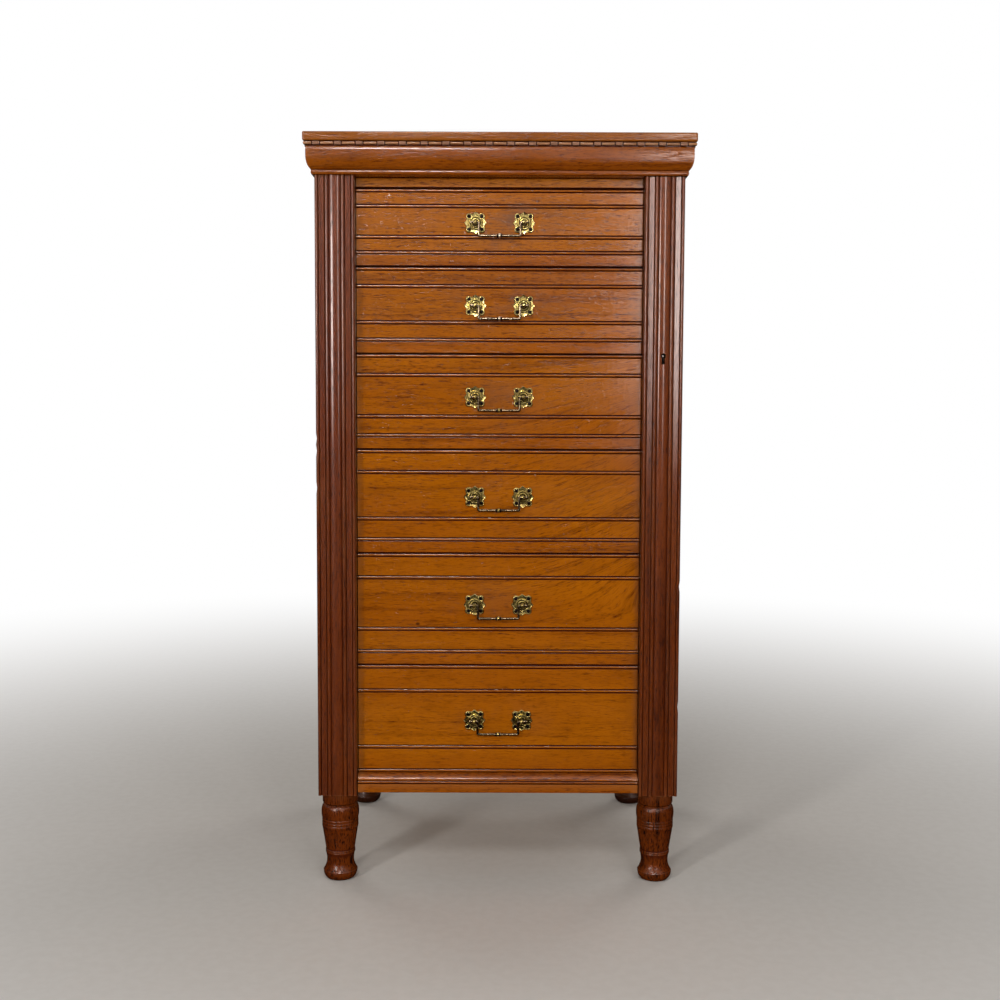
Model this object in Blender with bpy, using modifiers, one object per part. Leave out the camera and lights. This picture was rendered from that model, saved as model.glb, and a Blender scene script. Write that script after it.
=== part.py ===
"""Wellington chest: a tall narrow chest of graduated drawers behind a hinged locking flap.

Units are metres and +Z is up. The front faces -Y, and the origin lies on the floor
under the middle of the top board. Drawers are numbered from the top.
"""

import math

import bmesh
import bpy
from mathutils import Matrix, Vector

# Clearances
JOINT_GAP = 0.0003
DRAWER_SIDE_GAP = 0.001
DRAWER_TOP_GAP = 0.0012
FLAP_END_GAP = 0.0008
FLAP_BACK_GAP = 0.0005
PIN_CLEARANCE = 0.0002
HOOK_CLEARANCE = 0.001
PLATE_CLEARANCE = 0.001

# Case
CASE_WIDTH = 0.576
CASE_DEPTH = 0.466
SIDE_THICKNESS = 0.018
BACK_THICKNESS = 0.010
BACK_INSET = 0.002
TOP_THICKNESS = 0.0136
TOP_OVERHANG = 0.016
TOP_EDGE_ROUND = 0.002
FRAME_DEPTH = 0.044
PILASTER_WIDTH = 0.062

# Heights of the front, from the floor up
LEG_HEIGHT = 0.144
BASE_RAIL_HEIGHT = 0.0335
DIVIDER_THICKNESS = 0.019
DRAWER_COUNT = 6
FIRST_OPENING = 0.1024
OPENING_STEP = 0.0148
TOP_RAIL_SHOW = 0.016

# Cornice: a bead, an ovolo under a plain band, and a strip of small blocks on a thin bar
CORNICE_BEAD_HEIGHT = 0.008
CORNICE_BEAD_PROJECTION = 0.0045
CORNICE_QUIRK_PROJECTION = 0.0028
OVOLO_HEIGHT = 0.0206
OVOLO_PROJECTION = 0.0117
CORNICE_BAND_HEIGHT = 0.014
DENTIL_HEIGHT = 0.0075
DENTIL_PROJECTION = 0.015
DENTIL_WIDTH = 0.010
DENTIL_PITCH = 0.0333
DENTIL_MARGIN = 0.0003
BAR_HEIGHT = 0.0035
BAR_PROJECTION = 0.0145

# Reeded pilaster and flap, across the width from either edge to the middle
EDGE_BEAD_WIDTH = 0.0055
INNER_BEAD_WIDTH = 0.0064
CENTRE_REED_WIDTH = 0.0186
REED_DEPTH = 0.003
FLAT_DEPTH = 0.0016
FLAT_QUIRK = 0.0007

# Drawers
DRAWER_SETBACK = 0.020
FRONT_THICKNESS = 0.020
DRAWER_SIDE_THICKNESS = 0.010
DRAWER_BACK_THICKNESS = 0.010
DRAWER_BOTTOM_THICKNESS = 0.006
DRAWER_BOTTOM_RISE = 0.012
DRAWER_GROOVE_DEPTH = 0.005
DRAWER_SIDE_DROP = 0.006
DRAWER_BACK_ROOM = 0.012
RAIL_SETBACK = 0.0006
GUIDE_HEIGHT = 0.012

# Beads worked across the drawer fronts
FRONT_BEAD_WIDTH = 0.0048
FRONT_BEAD_DEPTH = 0.0014
FRONT_BEAD_QUIRK = 0.0007
FIRST_STRIP = 0.0193
STRIP_STEP = 0.003

# Base rail, from its lower edge up
BASE_RAIL_SETBACK = 0.005
BASE_BEAD_HEIGHT = 0.0045
BASE_FLAT_HEIGHT = 0.010
BASE_FLAT_DEPTH = 0.002
BASE_BEAD_DEPTH = 0.0025
BASE_NOSE_LIP = 0.0006
BASE_QUIRK = 0.0012

# Turned legs, from the top down; the taper takes up what is left of the height
LEG_INSET = 0.0315
LEG_NECK_LENGTH = 0.014
LEG_NECK_STRAIGHT = 0.0105
LEG_NECK_RADIUS = 0.0290
LEG_NECK_FOOT_RADIUS = 0.0240
LEG_BULB_RADIUS = 0.0305
LEG_BULB_RISE = 0.017
LEG_BULB_FALL = 0.012
LEG_BULB_FOOT_RADIUS = 0.0289
LEG_RING_COUNT = 3
LEG_RING_HEIGHT = 0.0048
LEG_RING_SWELL = 0.0006
LEG_TAPER_RADIUS = 0.0232
LEG_COLLAR_HEIGHT = 0.0062
LEG_COLLAR_SWELL = 0.0008
LEG_ANKLE_LENGTH = 0.0126
LEG_ANKLE_RADIUS = 0.0218
LEG_FLARE_LENGTH = 0.0162
LEG_FLARE_RADIUS = 0.0276
LEG_FOOT_HEIGHT = 0.0144
LEG_FOOT_RADIUS = 0.0175

# Handles; turns and sweeps are in degrees
HANDLE_SPAN = 0.0762
HANDLE_DROP = 0.002
ROSETTE_LEAF_REACH = 0.0176
ROSETTE_VALLEY_REACH = 0.0156
ROSETTE_VALLEY_TURN = 18
ROSETTE_EAR_OFFSET = 0.0100
ROSETTE_EAR_RADIUS = 0.0052
ROSETTE_EAR_SWEEP = 80
ROSETTE_HOLE_RADIUS = 0.0026
ROSETTE_THICKNESS = 0.0022
ROSETTE_RING_RADIUS = 0.0094
ROSETTE_RING_WIDTH = 0.0036
ROSETTE_RING_HEIGHT = 0.0046
ROSETTE_DISH_HEIGHT = 0.0032
POST_RADIUS = 0.0034
POST_BEYOND_PIN = 0.0042
POST_ROUND = 0.0017
SHANK_RADIUS = 0.0025
SHANK_LENGTH = 0.014
PIVOT_STANDOFF = 0.009
BAIL_RADIUS = 0.0018
BAIL_LEG_SPAN = 0.065
BAIL_DROP = 0.021
BAIL_BEND_RADIUS = 0.002
BAIL_PIN_BEYOND_POST = 0.0045
KNOP_RADIUS = 0.0031
KNOP_LENGTH = 0.0052

# Locking flap, its pivots and its lock
FLAP_THICKNESS = 0.0215
PIVOT_INSET = 0.007
PIVOT_PIN_RADIUS = 0.0025
PIVOT_PIN_LENGTH = 0.012
PIVOT_PLATE_WIDTH = 0.011
PIVOT_PLATE_THICKNESS = 0.002
PIVOT_PLATE_TAIL = 0.014
KEYHOLE_HEIGHT = 0.848
KEYHOLE_RADIUS = 0.0032
KEYHOLE_SLOT_WIDTH = 0.0034
KEYHOLE_SLOT_LENGTH = 0.012
KEY_PIN_RADIUS = 0.0012
KEY_PIN_SETBACK = 0.003
LOCK_CASE_WIDTH = 0.030
LOCK_CASE_DEPTH = 0.012
LOCK_CASE_ABOVE = 0.014
LOCK_CASE_BELOW = 0.030
HOOK_DROP = 0.006
HOOK_THICKNESS = 0.004
HOOK_SHANK_HEIGHT = 0.008
HOOK_SHANK_INSIDE = 0.008
HOOK_REACH = 0.009
HOOK_TOE_LENGTH = 0.0045
HOOK_TOE_DEPTH = 0.005
HOOK_TRAVEL = 0.006
HOOK_SWING_ROOM = 0.005
KEEP_LIP = 0.0035

# Facets
BEAD_STEPS = 4
REED_STEPS = 8
ARC_STEPS = 4
BEND_STEPS = 2
WIRE_RESOLUTION = 2
TOP_EDGE_STEPS = 2
LEG_SIDES = 14
POST_SIDES = 10
PIN_SIDES = 16
HOLE_SIDES = 6
LOBE_STEPS = 3
SMOOTH_ANGLE = math.radians(40)
WELD_DISTANCE = 0.00001
OVERLAP = 0.004

# Places worked out from the sizes above
HALF_WIDTH = CASE_WIDTH / 2
BACK_Y = (CASE_DEPTH + TOP_OVERHANG) / 2
FACE_Y = BACK_Y - CASE_DEPTH
FRAME_BACK_Y = FACE_Y + FRAME_DEPTH
DRAWER_FACE_Y = FACE_Y + DRAWER_SETBACK
RAIL_FACE_Y = DRAWER_FACE_Y + RAIL_SETBACK
BACK_PANEL_Y = BACK_Y - BACK_INSET - BACK_THICKNESS
INNER_HALF = HALF_WIDTH - SIDE_THICKNESS - JOINT_GAP
OPENING_HALF = HALF_WIDTH - PILASTER_WIDTH
DRAWER_HALF = OPENING_HALF - DRAWER_SIDE_GAP
OPENING_HEIGHTS = [FIRST_OPENING + OPENING_STEP * row for row in range(DRAWER_COUNT)]
BASE_TOP_Z = LEG_HEIGHT + BASE_RAIL_HEIGHT
STACK_TOP_Z = BASE_TOP_Z + sum(OPENING_HEIGHTS) + DIVIDER_THICKNESS * (DRAWER_COUNT - 1)
CORNICE_Z = STACK_TOP_Z + TOP_RAIL_SHOW
DENTIL_Z = CORNICE_Z + CORNICE_BEAD_HEIGHT + OVOLO_HEIGHT + CORNICE_BAND_HEIGHT
TOP_Z = DENTIL_Z + DENTIL_HEIGHT
FLAP_CENTRE_X = HALF_WIDTH - PILASTER_WIDTH / 2
FLAP_BACK_Y = FACE_Y + FLAP_THICKNESS
STILE_FACE_Y = FLAP_BACK_Y + FLAP_BACK_GAP
PIVOT_X = HALF_WIDTH - PIVOT_INSET
PIVOT_Y = FLAP_BACK_Y - PIVOT_INSET
HOOK_Z = KEYHOLE_HEIGHT - HOOK_DROP

# Finishes: base colour, roughness and metallic value
FINISHES = {
    "golden_oak": ((0.31, 0.095, 0.012), 0.38, 0.0),
    "rail_oak": ((0.22, 0.065, 0.012), 0.40, 0.0),
    "brown_oak": ((0.13, 0.042, 0.016), 0.36, 0.0),
    "inner_oak": ((0.42, 0.25, 0.12), 0.65, 0.0),
    "back_pine": ((0.26, 0.14, 0.07), 0.75, 0.0),
    "brass": ((0.42, 0.30, 0.09), 0.35, 1.0),
    "bronze": ((0.13, 0.10, 0.07), 0.38, 1.0),
    "steel": ((0.32, 0.31, 0.29), 0.42, 1.0),
}


# Scene

def clear_scene():
    for item in list(bpy.data.objects):
        bpy.data.objects.remove(item, do_unlink=True)


def new_collection(name):
    collection = bpy.data.collections.new(name)
    bpy.context.scene.collection.children.link(collection)
    return collection


def make_materials():
    for name, (colour, roughness, metallic) in FINISHES.items():
        material = bpy.data.materials.new(name)
        material.use_nodes = True
        shader = material.node_tree.nodes["Principled BSDF"]
        shader.inputs["Base Color"].default_value = (*colour, 1.0)
        shader.inputs["Roughness"].default_value = roughness
        shader.inputs["Metallic"].default_value = metallic


clear_scene()
CHEST = new_collection("wellington_chest")
TOOLS = new_collection("cutters")
make_materials()


# Mesh makers

def tidy_mesh(mesh):
    """Weld loose caps, close open ends with flat faces and make all faces point outwards."""
    shape = bmesh.new()
    shape.from_mesh(mesh)
    bmesh.ops.remove_doubles(shape, verts=shape.verts[:], dist=WELD_DISTANCE)
    rims = [edge for edge in shape.edges if edge.is_boundary]
    bmesh.ops.holes_fill(shape, edges=rims)
    bmesh.ops.recalc_face_normals(shape, faces=shape.faces[:])
    shape.to_mesh(mesh)
    shape.free()
    return mesh


def evaluated_mesh(item):
    """The mesh of an object with its modifiers or its curve bevel worked out."""
    depsgraph = bpy.context.evaluated_depsgraph_get()
    return bpy.data.meshes.new_from_object(item.evaluated_get(depsgraph))


def baked(data):
    """A tidy mesh from curve data."""
    item = bpy.data.objects.new(data.name, data)
    TOOLS.objects.link(item)
    mesh = tidy_mesh(evaluated_mesh(item))
    bpy.data.objects.remove(item, do_unlink=True)
    bpy.data.curves.remove(data)
    return mesh


def poly_spline(curve, points, closed):
    spline = curve.splines.new("POLY")
    spline.points.add(len(points) - 1)
    for point, place in zip(spline.points, points):
        point.co = (*place, 1.0)
    spline.use_cyclic_u = closed


def outline_mesh(name, loops, thickness):
    """Closed loops in the XY plane, filled and given a thickness along Z; inner loops are holes.

    A single loop gets one flat face at each end, and a pierced one the curve's own fill.
    """
    curve = bpy.data.curves.new(name, "CURVE")
    curve.dimensions = "2D"
    curve.fill_mode = "BOTH" if len(loops) > 1 else "NONE"
    curve.extrude = thickness / 2
    for loop in loops:
        poly_spline(curve, [(x, y, 0.0) for x, y in loop], True)
    return baked(curve)


def wire_mesh(name, points, radius):
    curve = bpy.data.curves.new(name, "CURVE")
    curve.dimensions = "3D"
    curve.bevel_depth = radius
    curve.bevel_resolution = WIRE_RESOLUTION
    curve.use_fill_caps = True
    poly_spline(curve, points, False)
    return baked(curve)


def box_mesh(name, size):
    mesh = bpy.data.meshes.new(name)
    shape = bmesh.new()
    bmesh.ops.create_cube(shape, size=1.0, matrix=Matrix.Diagonal((*size, 1.0)))
    shape.to_mesh(mesh)
    shape.free()
    return mesh


def rod_mesh(name, radius, length, sides):
    """A closed round rod along Z, centred on its origin."""
    mesh = bpy.data.meshes.new(name)
    shape = bmesh.new()
    bmesh.ops.create_cone(
        shape, cap_ends=True, segments=sides, radius1=radius, radius2=radius, depth=length
    )
    shape.to_mesh(mesh)
    shape.free()
    return mesh


def turned_mesh(name, profile, sides):
    """A profile of (radius, height), from the top down, turned about Z."""
    mesh = bpy.data.meshes.new(name)
    edges = [(index, index + 1) for index in range(len(profile) - 1)]
    mesh.from_pydata([(radius, 0.0, height) for radius, height in profile], edges, [])
    item = bpy.data.objects.new(name, mesh)
    TOOLS.objects.link(item)
    screw = item.modifiers.new("turn", "SCREW")
    screw.steps = sides
    screw.render_steps = sides
    screw.use_merge_vertices = True
    screw.merge_threshold = WELD_DISTANCE
    turned = tidy_mesh(evaluated_mesh(item))
    bpy.data.objects.remove(item, do_unlink=True)
    return turned


def loft_mesh(name, sections):
    """Like sections joined one to the next, with both ends closed."""
    mesh = bpy.data.meshes.new(name)
    shape = bmesh.new()
    rings = [[shape.verts.new(place) for place in section] for section in sections]
    for ring, following in zip(rings, rings[1:]):
        for index, vert in enumerate(ring):
            shape.faces.new((ring[index - 1], vert, following[index], following[index - 1]))
    shape.faces.new(rings[0])
    shape.faces.new(rings[-1])
    bmesh.ops.recalc_face_normals(shape, faces=shape.faces[:])
    shape.to_mesh(mesh)
    shape.free()
    return mesh


def across(mesh):
    """Turn an outline drawn as (depth, height) so that its thickness runs along X."""
    mesh.transform(Matrix(((0, 0, 1, 0), (1, 0, 0, 0), (0, 1, 0, 0), (0, 0, 0, 1))))
    return mesh


# Object makers

def carrier(name, place):
    """An empty on a joint's axis, which carries the pieces that move together."""
    empty = bpy.data.objects.new(name, None)
    empty.location = place
    CHEST.objects.link(empty)
    return empty


def attach(item, parent):
    item.parent = parent
    item.matrix_parent_inverse = Matrix.Translation(-parent.location)


def piece(name, mesh, finish, place, parent=None, turn=(0.0, 0.0, 0.0)):
    item = bpy.data.objects.new(name, mesh)
    item.location = place
    item.rotation_euler = turn
    CHEST.objects.link(item)
    mesh.name = name
    if not mesh.materials:
        mesh.materials.append(bpy.data.materials[finish])
    mesh.shade_smooth()
    mesh.set_sharp_from_angle(angle=SMOOTH_ANGLE)
    if parent:
        attach(item, parent)
    return item


def middle_and_size(low, high):
    low = Vector(low)
    high = Vector(high)
    return (low + high) / 2, high - low


def box(name, low, high, finish, parent=None):
    middle, size = middle_and_size(low, high)
    return piece(name, box_mesh(name, size), finish, middle, parent)


def tool(name, mesh, place, parent=None):
    """A hidden shape that cuts or joins a piece and moves with the piece's carrier."""
    item = bpy.data.objects.new(name, mesh)
    item.location = place
    item.hide_render = True
    item.display_type = "WIRE"
    TOOLS.objects.link(item)
    if parent:
        attach(item, parent)
    return item


def box_tool(name, low, high, parent=None):
    middle, size = middle_and_size(low, high)
    return tool(name, box_mesh(name, size), middle, parent)


def combine(item, other, operation):
    modifier = item.modifiers.new(other.name, "BOOLEAN")
    modifier.object = other
    modifier.operation = operation
    modifier.solver = "EXACT"


def cut(item, other):
    combine(item, other, "DIFFERENCE")


def join(item, other):
    combine(item, other, "UNION")


def finished_mesh(item, helpers):
    """The mesh of an object in place, with its modifiers worked out; the object and its helpers go."""
    mesh = tidy_mesh(evaluated_mesh(item))
    mesh.transform(Matrix.Translation(item.location))
    for spare in [item] + helpers:
        bpy.data.objects.remove(spare, do_unlink=True)
    return mesh


# Outline makers

def polar(radius, degrees):
    angle = math.radians(degrees)
    return (radius * math.cos(angle), radius * math.sin(angle))


def arc(centre, radius, start, end, steps):
    """Points on a circle, angles in degrees."""
    spokes = [polar(radius, start + (end - start) * step / steps) for step in range(steps + 1)]
    return [(centre[0] + x, centre[1] + y) for x, y in spokes]


def bead(start, width, depth, steps):
    """A half-round bead along a line: (distance along, depth below the crest)."""
    turns = [math.pi * step / steps for step in range(steps + 1)]
    return [(start + width * (1 - math.cos(a)) / 2, depth * (1 - math.sin(a))) for a in turns]


def reeded_front():
    """The pilaster's front across its width: (distance from the edge, depth)."""
    flat_width = (PILASTER_WIDTH - 2 * EDGE_BEAD_WIDTH - 2 * INNER_BEAD_WIDTH - CENTRE_REED_WIDTH) / 2
    inner_start = EDGE_BEAD_WIDTH + flat_width
    half = bead(0.0, EDGE_BEAD_WIDTH, REED_DEPTH, BEAD_STEPS)
    half.append((EDGE_BEAD_WIDTH + FLAT_QUIRK, FLAT_DEPTH))
    half.append((inner_start - FLAT_QUIRK, FLAT_DEPTH))
    half += bead(inner_start, INNER_BEAD_WIDTH, REED_DEPTH, BEAD_STEPS)
    reed = bead(inner_start + INNER_BEAD_WIDTH, CENTRE_REED_WIDTH, REED_DEPTH, REED_STEPS)
    mirrored = [(PILASTER_WIDTH - along, depth) for along, depth in reversed(half)]
    return half + reed[1:-1] + mirrored


def drawer_front_line(height, strip):
    """A drawer front's face from its lower to its upper edge: (height, depth)."""
    second = FRONT_BEAD_WIDTH + strip
    lower = bead(0.0, FRONT_BEAD_WIDTH, FRONT_BEAD_DEPTH, BEAD_STEPS)
    lower.append((FRONT_BEAD_WIDTH + FRONT_BEAD_QUIRK, 0.0))
    lower.append((second - FRONT_BEAD_QUIRK, 0.0))
    lower += bead(second, FRONT_BEAD_WIDTH, FRONT_BEAD_DEPTH, BEAD_STEPS)
    lower.append((second + FRONT_BEAD_WIDTH + FRONT_BEAD_QUIRK, 0.0))
    upper = [(height - place, depth) for place, depth in reversed(lower)]
    return lower + upper


def base_rail_outline():
    """The base rail from its lower edge up: (depth, height)."""
    depth = FRAME_DEPTH - BASE_RAIL_SETBACK - JOINT_GAP
    nose_start = 2 * BASE_BEAD_HEIGHT + BASE_FLAT_HEIGHT
    nose_height = BASE_RAIL_HEIGHT - nose_start
    nose_depth = DRAWER_SETBACK - BASE_RAIL_SETBACK - BASE_NOSE_LIP
    line = bead(0.0, BASE_BEAD_HEIGHT, BASE_BEAD_DEPTH, BEAD_STEPS)
    line.append((BASE_BEAD_HEIGHT + BASE_QUIRK, BASE_FLAT_DEPTH))
    line += bead(BASE_BEAD_HEIGHT + BASE_FLAT_HEIGHT, BASE_BEAD_HEIGHT, BASE_BEAD_DEPTH, BEAD_STEPS)
    for step in range(1, ARC_STEPS + 1):
        angle = math.pi / 2 * step / ARC_STEPS
        height = nose_start + nose_height * math.sin(angle)
        line.append((height, nose_depth * (1 - math.cos(angle)) + BASE_NOSE_LIP))
    outline = [(place, height) for height, place in line]
    return outline + [(depth, BASE_RAIL_HEIGHT), (depth, 0.0)]


def cornice_outline():
    """The cornice from its lower edge up: (projection from the case, height)."""
    quirk_depth = CORNICE_BEAD_PROJECTION - CORNICE_QUIRK_PROJECTION
    lower = bead(0.0, CORNICE_BEAD_HEIGHT, quirk_depth, BEAD_STEPS)
    line = [(CORNICE_BEAD_PROJECTION - depth, height) for height, depth in lower]
    swell = OVOLO_PROJECTION - CORNICE_QUIRK_PROJECTION
    for step in range(1, REED_STEPS + 1):
        angle = math.pi / 2 * step / REED_STEPS
        height = CORNICE_BEAD_HEIGHT + OVOLO_HEIGHT * (1 - math.cos(angle))
        line.append((CORNICE_QUIRK_PROJECTION + swell * math.sin(angle), height))
    bar_foot = DENTIL_Z - CORNICE_Z + (DENTIL_HEIGHT - BAR_HEIGHT) / 2
    for projection, height in (
        (OVOLO_PROJECTION, bar_foot),
        (BAR_PROJECTION, bar_foot),
        (BAR_PROJECTION, bar_foot + BAR_HEIGHT),
        (OVOLO_PROJECTION, bar_foot + BAR_HEIGHT),
        (OVOLO_PROJECTION, TOP_Z - CORNICE_Z - JOINT_GAP),
        (JOINT_GAP, TOP_Z - CORNICE_Z - JOINT_GAP),
        (JOINT_GAP, 0.0),
    ):
        line.append((projection, height))
    return line


def leg_profile():
    """The turned leg from the top down: (radius, height)."""
    height = LEG_HEIGHT - JOINT_GAP
    line = [(0.0, height), (LEG_NECK_RADIUS, height), (LEG_NECK_RADIUS, height - LEG_NECK_STRAIGHT)]
    height -= LEG_NECK_LENGTH
    line.append((LEG_NECK_FOOT_RADIUS, height))
    for step in range(1, ARC_STEPS + 1):
        angle = math.pi / 2 * step / ARC_STEPS
        swell = (LEG_BULB_RADIUS - LEG_NECK_FOOT_RADIUS) * math.sin(angle)
        line.append((LEG_NECK_FOOT_RADIUS + swell, height - LEG_BULB_RISE * (1 - math.cos(angle))))
    height -= LEG_BULB_RISE
    for step in range(1, ARC_STEPS + 1):
        angle = math.pi / 2 * step / ARC_STEPS
        swell = (LEG_BULB_RADIUS - LEG_BULB_FOOT_RADIUS) * math.cos(angle)
        line.append((LEG_BULB_FOOT_RADIUS + swell, height - LEG_BULB_FALL * math.sin(angle)))
    height -= LEG_BULB_FALL
    for _ in range(LEG_RING_COUNT):
        line.append((LEG_BULB_FOOT_RADIUS + LEG_RING_SWELL, height - LEG_RING_HEIGHT / 2))
        height -= LEG_RING_HEIGHT
        line.append((LEG_BULB_FOOT_RADIUS, height))
    height = LEG_FOOT_HEIGHT + LEG_FLARE_LENGTH + LEG_ANKLE_LENGTH + LEG_COLLAR_HEIGHT
    line.append((LEG_TAPER_RADIUS, height))
    line.append((LEG_TAPER_RADIUS + LEG_COLLAR_SWELL, height - LEG_COLLAR_HEIGHT / 2))
    height -= LEG_COLLAR_HEIGHT
    line.append((LEG_TAPER_RADIUS, height))
    height -= LEG_ANKLE_LENGTH
    line.append((LEG_ANKLE_RADIUS, height))
    for step in range(1, ARC_STEPS + 1):
        share = (1 - math.cos(math.pi * step / ARC_STEPS)) / 2
        swell = (LEG_FLARE_RADIUS - LEG_ANKLE_RADIUS) * share
        line.append((LEG_ANKLE_RADIUS + swell, height - LEG_FLARE_LENGTH * step / ARC_STEPS))
    for step in range(1, ARC_STEPS + 1):
        angle = math.pi / 2 * step / ARC_STEPS
        swell = (LEG_FLARE_RADIUS - LEG_FOOT_RADIUS) * math.cos(angle)
        line.append((LEG_FOOT_RADIUS + swell, LEG_FOOT_HEIGHT * (1 - math.sin(angle))))
    return line + [(0.0, 0.0)]


def rosette_outline():
    """Four pointed leaves, with a round ear between each two."""
    line = []
    for leaf in (0, 90, 180, 270):
        ear = leaf + 45
        centre = polar(ROSETTE_EAR_OFFSET * math.sqrt(2), ear)
        line.append(polar(ROSETTE_LEAF_REACH, leaf))
        line.append(polar(ROSETTE_VALLEY_REACH, leaf + ROSETTE_VALLEY_TURN))
        line += arc(centre, ROSETTE_EAR_RADIUS, ear - ROSETTE_EAR_SWEEP, ear + ROSETTE_EAR_SWEEP, LOBE_STEPS)
        line.append(polar(ROSETTE_VALLEY_REACH, leaf + 90 - ROSETTE_VALLEY_TURN))
    return line


# Case

def make_case():
    side_top = TOP_Z - JOINT_GAP
    for name, outer, inner in (
        ("left_side", -HALF_WIDTH, -HALF_WIDTH + SIDE_THICKNESS),
        ("right_side", HALF_WIDTH - SIDE_THICKNESS, HALF_WIDTH),
    ):
        box(name, (outer, FRAME_BACK_Y + JOINT_GAP, LEG_HEIGHT), (inner, BACK_Y, side_top), "brown_oak")
    box(
        "back_panel",
        (-INNER_HALF, BACK_PANEL_Y, LEG_HEIGHT),
        (INNER_HALF, BACK_PANEL_Y + BACK_THICKNESS, side_top),
        "back_pine",
    )
    make_top_board()
    make_cornice()
    make_top_rail()
    make_left_pilaster()
    make_bottom_frame()
    make_base_rail()
    z = STACK_TOP_Z
    for row in range(DRAWER_COUNT - 1):
        z -= OPENING_HEIGHTS[row] + DIVIDER_THICKNESS
        make_divider(f"divider_{row + 1}", z)
    make_legs()


def make_top_board():
    reach = HALF_WIDTH + TOP_OVERHANG
    board = box(
        "top_board",
        (-reach, FACE_Y - TOP_OVERHANG, TOP_Z),
        (reach, BACK_Y, TOP_Z + TOP_THICKNESS),
        "golden_oak",
    )
    bevel = board.modifiers.new("edge", "BEVEL")
    bevel.width = TOP_EDGE_ROUND
    bevel.segments = TOP_EDGE_STEPS


def make_cornice():
    """The moulding runs from the back, round the front corners with mitres, to the back again."""
    outline = cornice_outline()
    stations = (
        lambda p: (-HALF_WIDTH - p, BACK_Y),
        lambda p: (-HALF_WIDTH - p, FACE_Y - p),
        lambda p: (HALF_WIDTH + p, FACE_Y - p),
        lambda p: (HALF_WIDTH + p, BACK_Y),
    )
    mesh = loft_mesh("cornice", [[(*station(p), z) for p, z in outline] for station in stations])
    cornice = piece("cornice", mesh, "golden_oak", (0.0, 0.0, CORNICE_Z))
    join(cornice, tool("dentils", dentil_mesh(), (0.0, 0.0, DENTIL_Z)))


def dentil_mesh():
    """The row of small blocks along the front and the two sides."""
    mesh = bpy.data.meshes.new("dentils")
    shape = bmesh.new()
    height = DENTIL_HEIGHT - JOINT_GAP - 2 * DENTIL_MARGIN
    depth = DENTIL_PROJECTION - OVOLO_PROJECTION + OVERLAP
    inward = DENTIL_PROJECTION - depth / 2
    z = DENTIL_MARGIN + height / 2
    front_length = CASE_WIDTH + 2 * DENTIL_PROJECTION
    for place in dentil_places(front_length):
        add_block(shape, (DENTIL_WIDTH, depth, height), (place, FACE_Y - inward, z))
    side_length = CASE_DEPTH + DENTIL_PROJECTION
    side_middle = BACK_Y - side_length / 2
    for place in dentil_places(side_length):
        for side in (-1, 1):
            middle = (side * (HALF_WIDTH + inward), side_middle + place, z)
            add_block(shape, (depth, DENTIL_WIDTH, height), middle)
    shape.to_mesh(mesh)
    shape.free()
    return mesh


def dentil_places(length):
    count = int(length // DENTIL_PITCH)
    return [(index - (count - 1) / 2) * DENTIL_PITCH for index in range(count)]


def add_block(shape, size, middle):
    matrix = Matrix.Translation(middle) @ Matrix.Diagonal((*size, 1.0))
    bmesh.ops.create_cube(shape, size=1.0, matrix=matrix)


def make_top_rail():
    """A frieze behind the cornice, with the rail over the first drawer under it."""
    frieze = box(
        "top_rail",
        (-HALF_WIDTH, FACE_Y, CORNICE_Z + JOINT_GAP),
        (HALF_WIDTH, FRAME_BACK_Y, TOP_Z - JOINT_GAP),
        "rail_oak",
    )
    rail = box_tool(
        "top_rail_tongue",
        (-DRAWER_HALF, RAIL_FACE_Y, STACK_TOP_Z),
        (DRAWER_HALF, FRAME_BACK_Y - OVERLAP, CORNICE_Z + OVERLAP),
    )
    join(frieze, rail)


def make_left_pilaster():
    outline = reeded_front() + [(PILASTER_WIDTH, FRAME_DEPTH), (0.0, FRAME_DEPTH)]
    height = CORNICE_Z - LEG_HEIGHT
    mesh = outline_mesh("left_pilaster", [outline], height)
    piece("left_pilaster", mesh, "brown_oak", (-HALF_WIDTH, FACE_Y, LEG_HEIGHT + height / 2))


def make_bottom_frame():
    """The board under the lowest drawer, with a side member over the legs at each end."""
    low_y = FRAME_BACK_Y + JOINT_GAP
    high_y = BACK_PANEL_Y - JOINT_GAP
    frame = box(
        "bottom_frame",
        (-INNER_HALF + JOINT_GAP, low_y, BASE_TOP_Z - DIVIDER_THICKNESS),
        (INNER_HALF - JOINT_GAP, high_y, BASE_TOP_Z),
        "inner_oak",
    )
    for side in (-1, 1):
        member = box_tool(
            f"bottom_frame_member_{side + 1}",
            (min(side * OPENING_HALF, side * INNER_HALF), low_y + JOINT_GAP, LEG_HEIGHT),
            (max(side * OPENING_HALF, side * INNER_HALF), high_y - JOINT_GAP, BASE_TOP_Z + GUIDE_HEIGHT),
        )
        join(frame, member)


def make_base_rail():
    mesh = across(outline_mesh("base_rail", [base_rail_outline()], 2 * DRAWER_HALF))
    piece("base_rail", mesh, "rail_oak", (0.0, FACE_Y + BASE_RAIL_SETBACK, LEG_HEIGHT))


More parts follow.
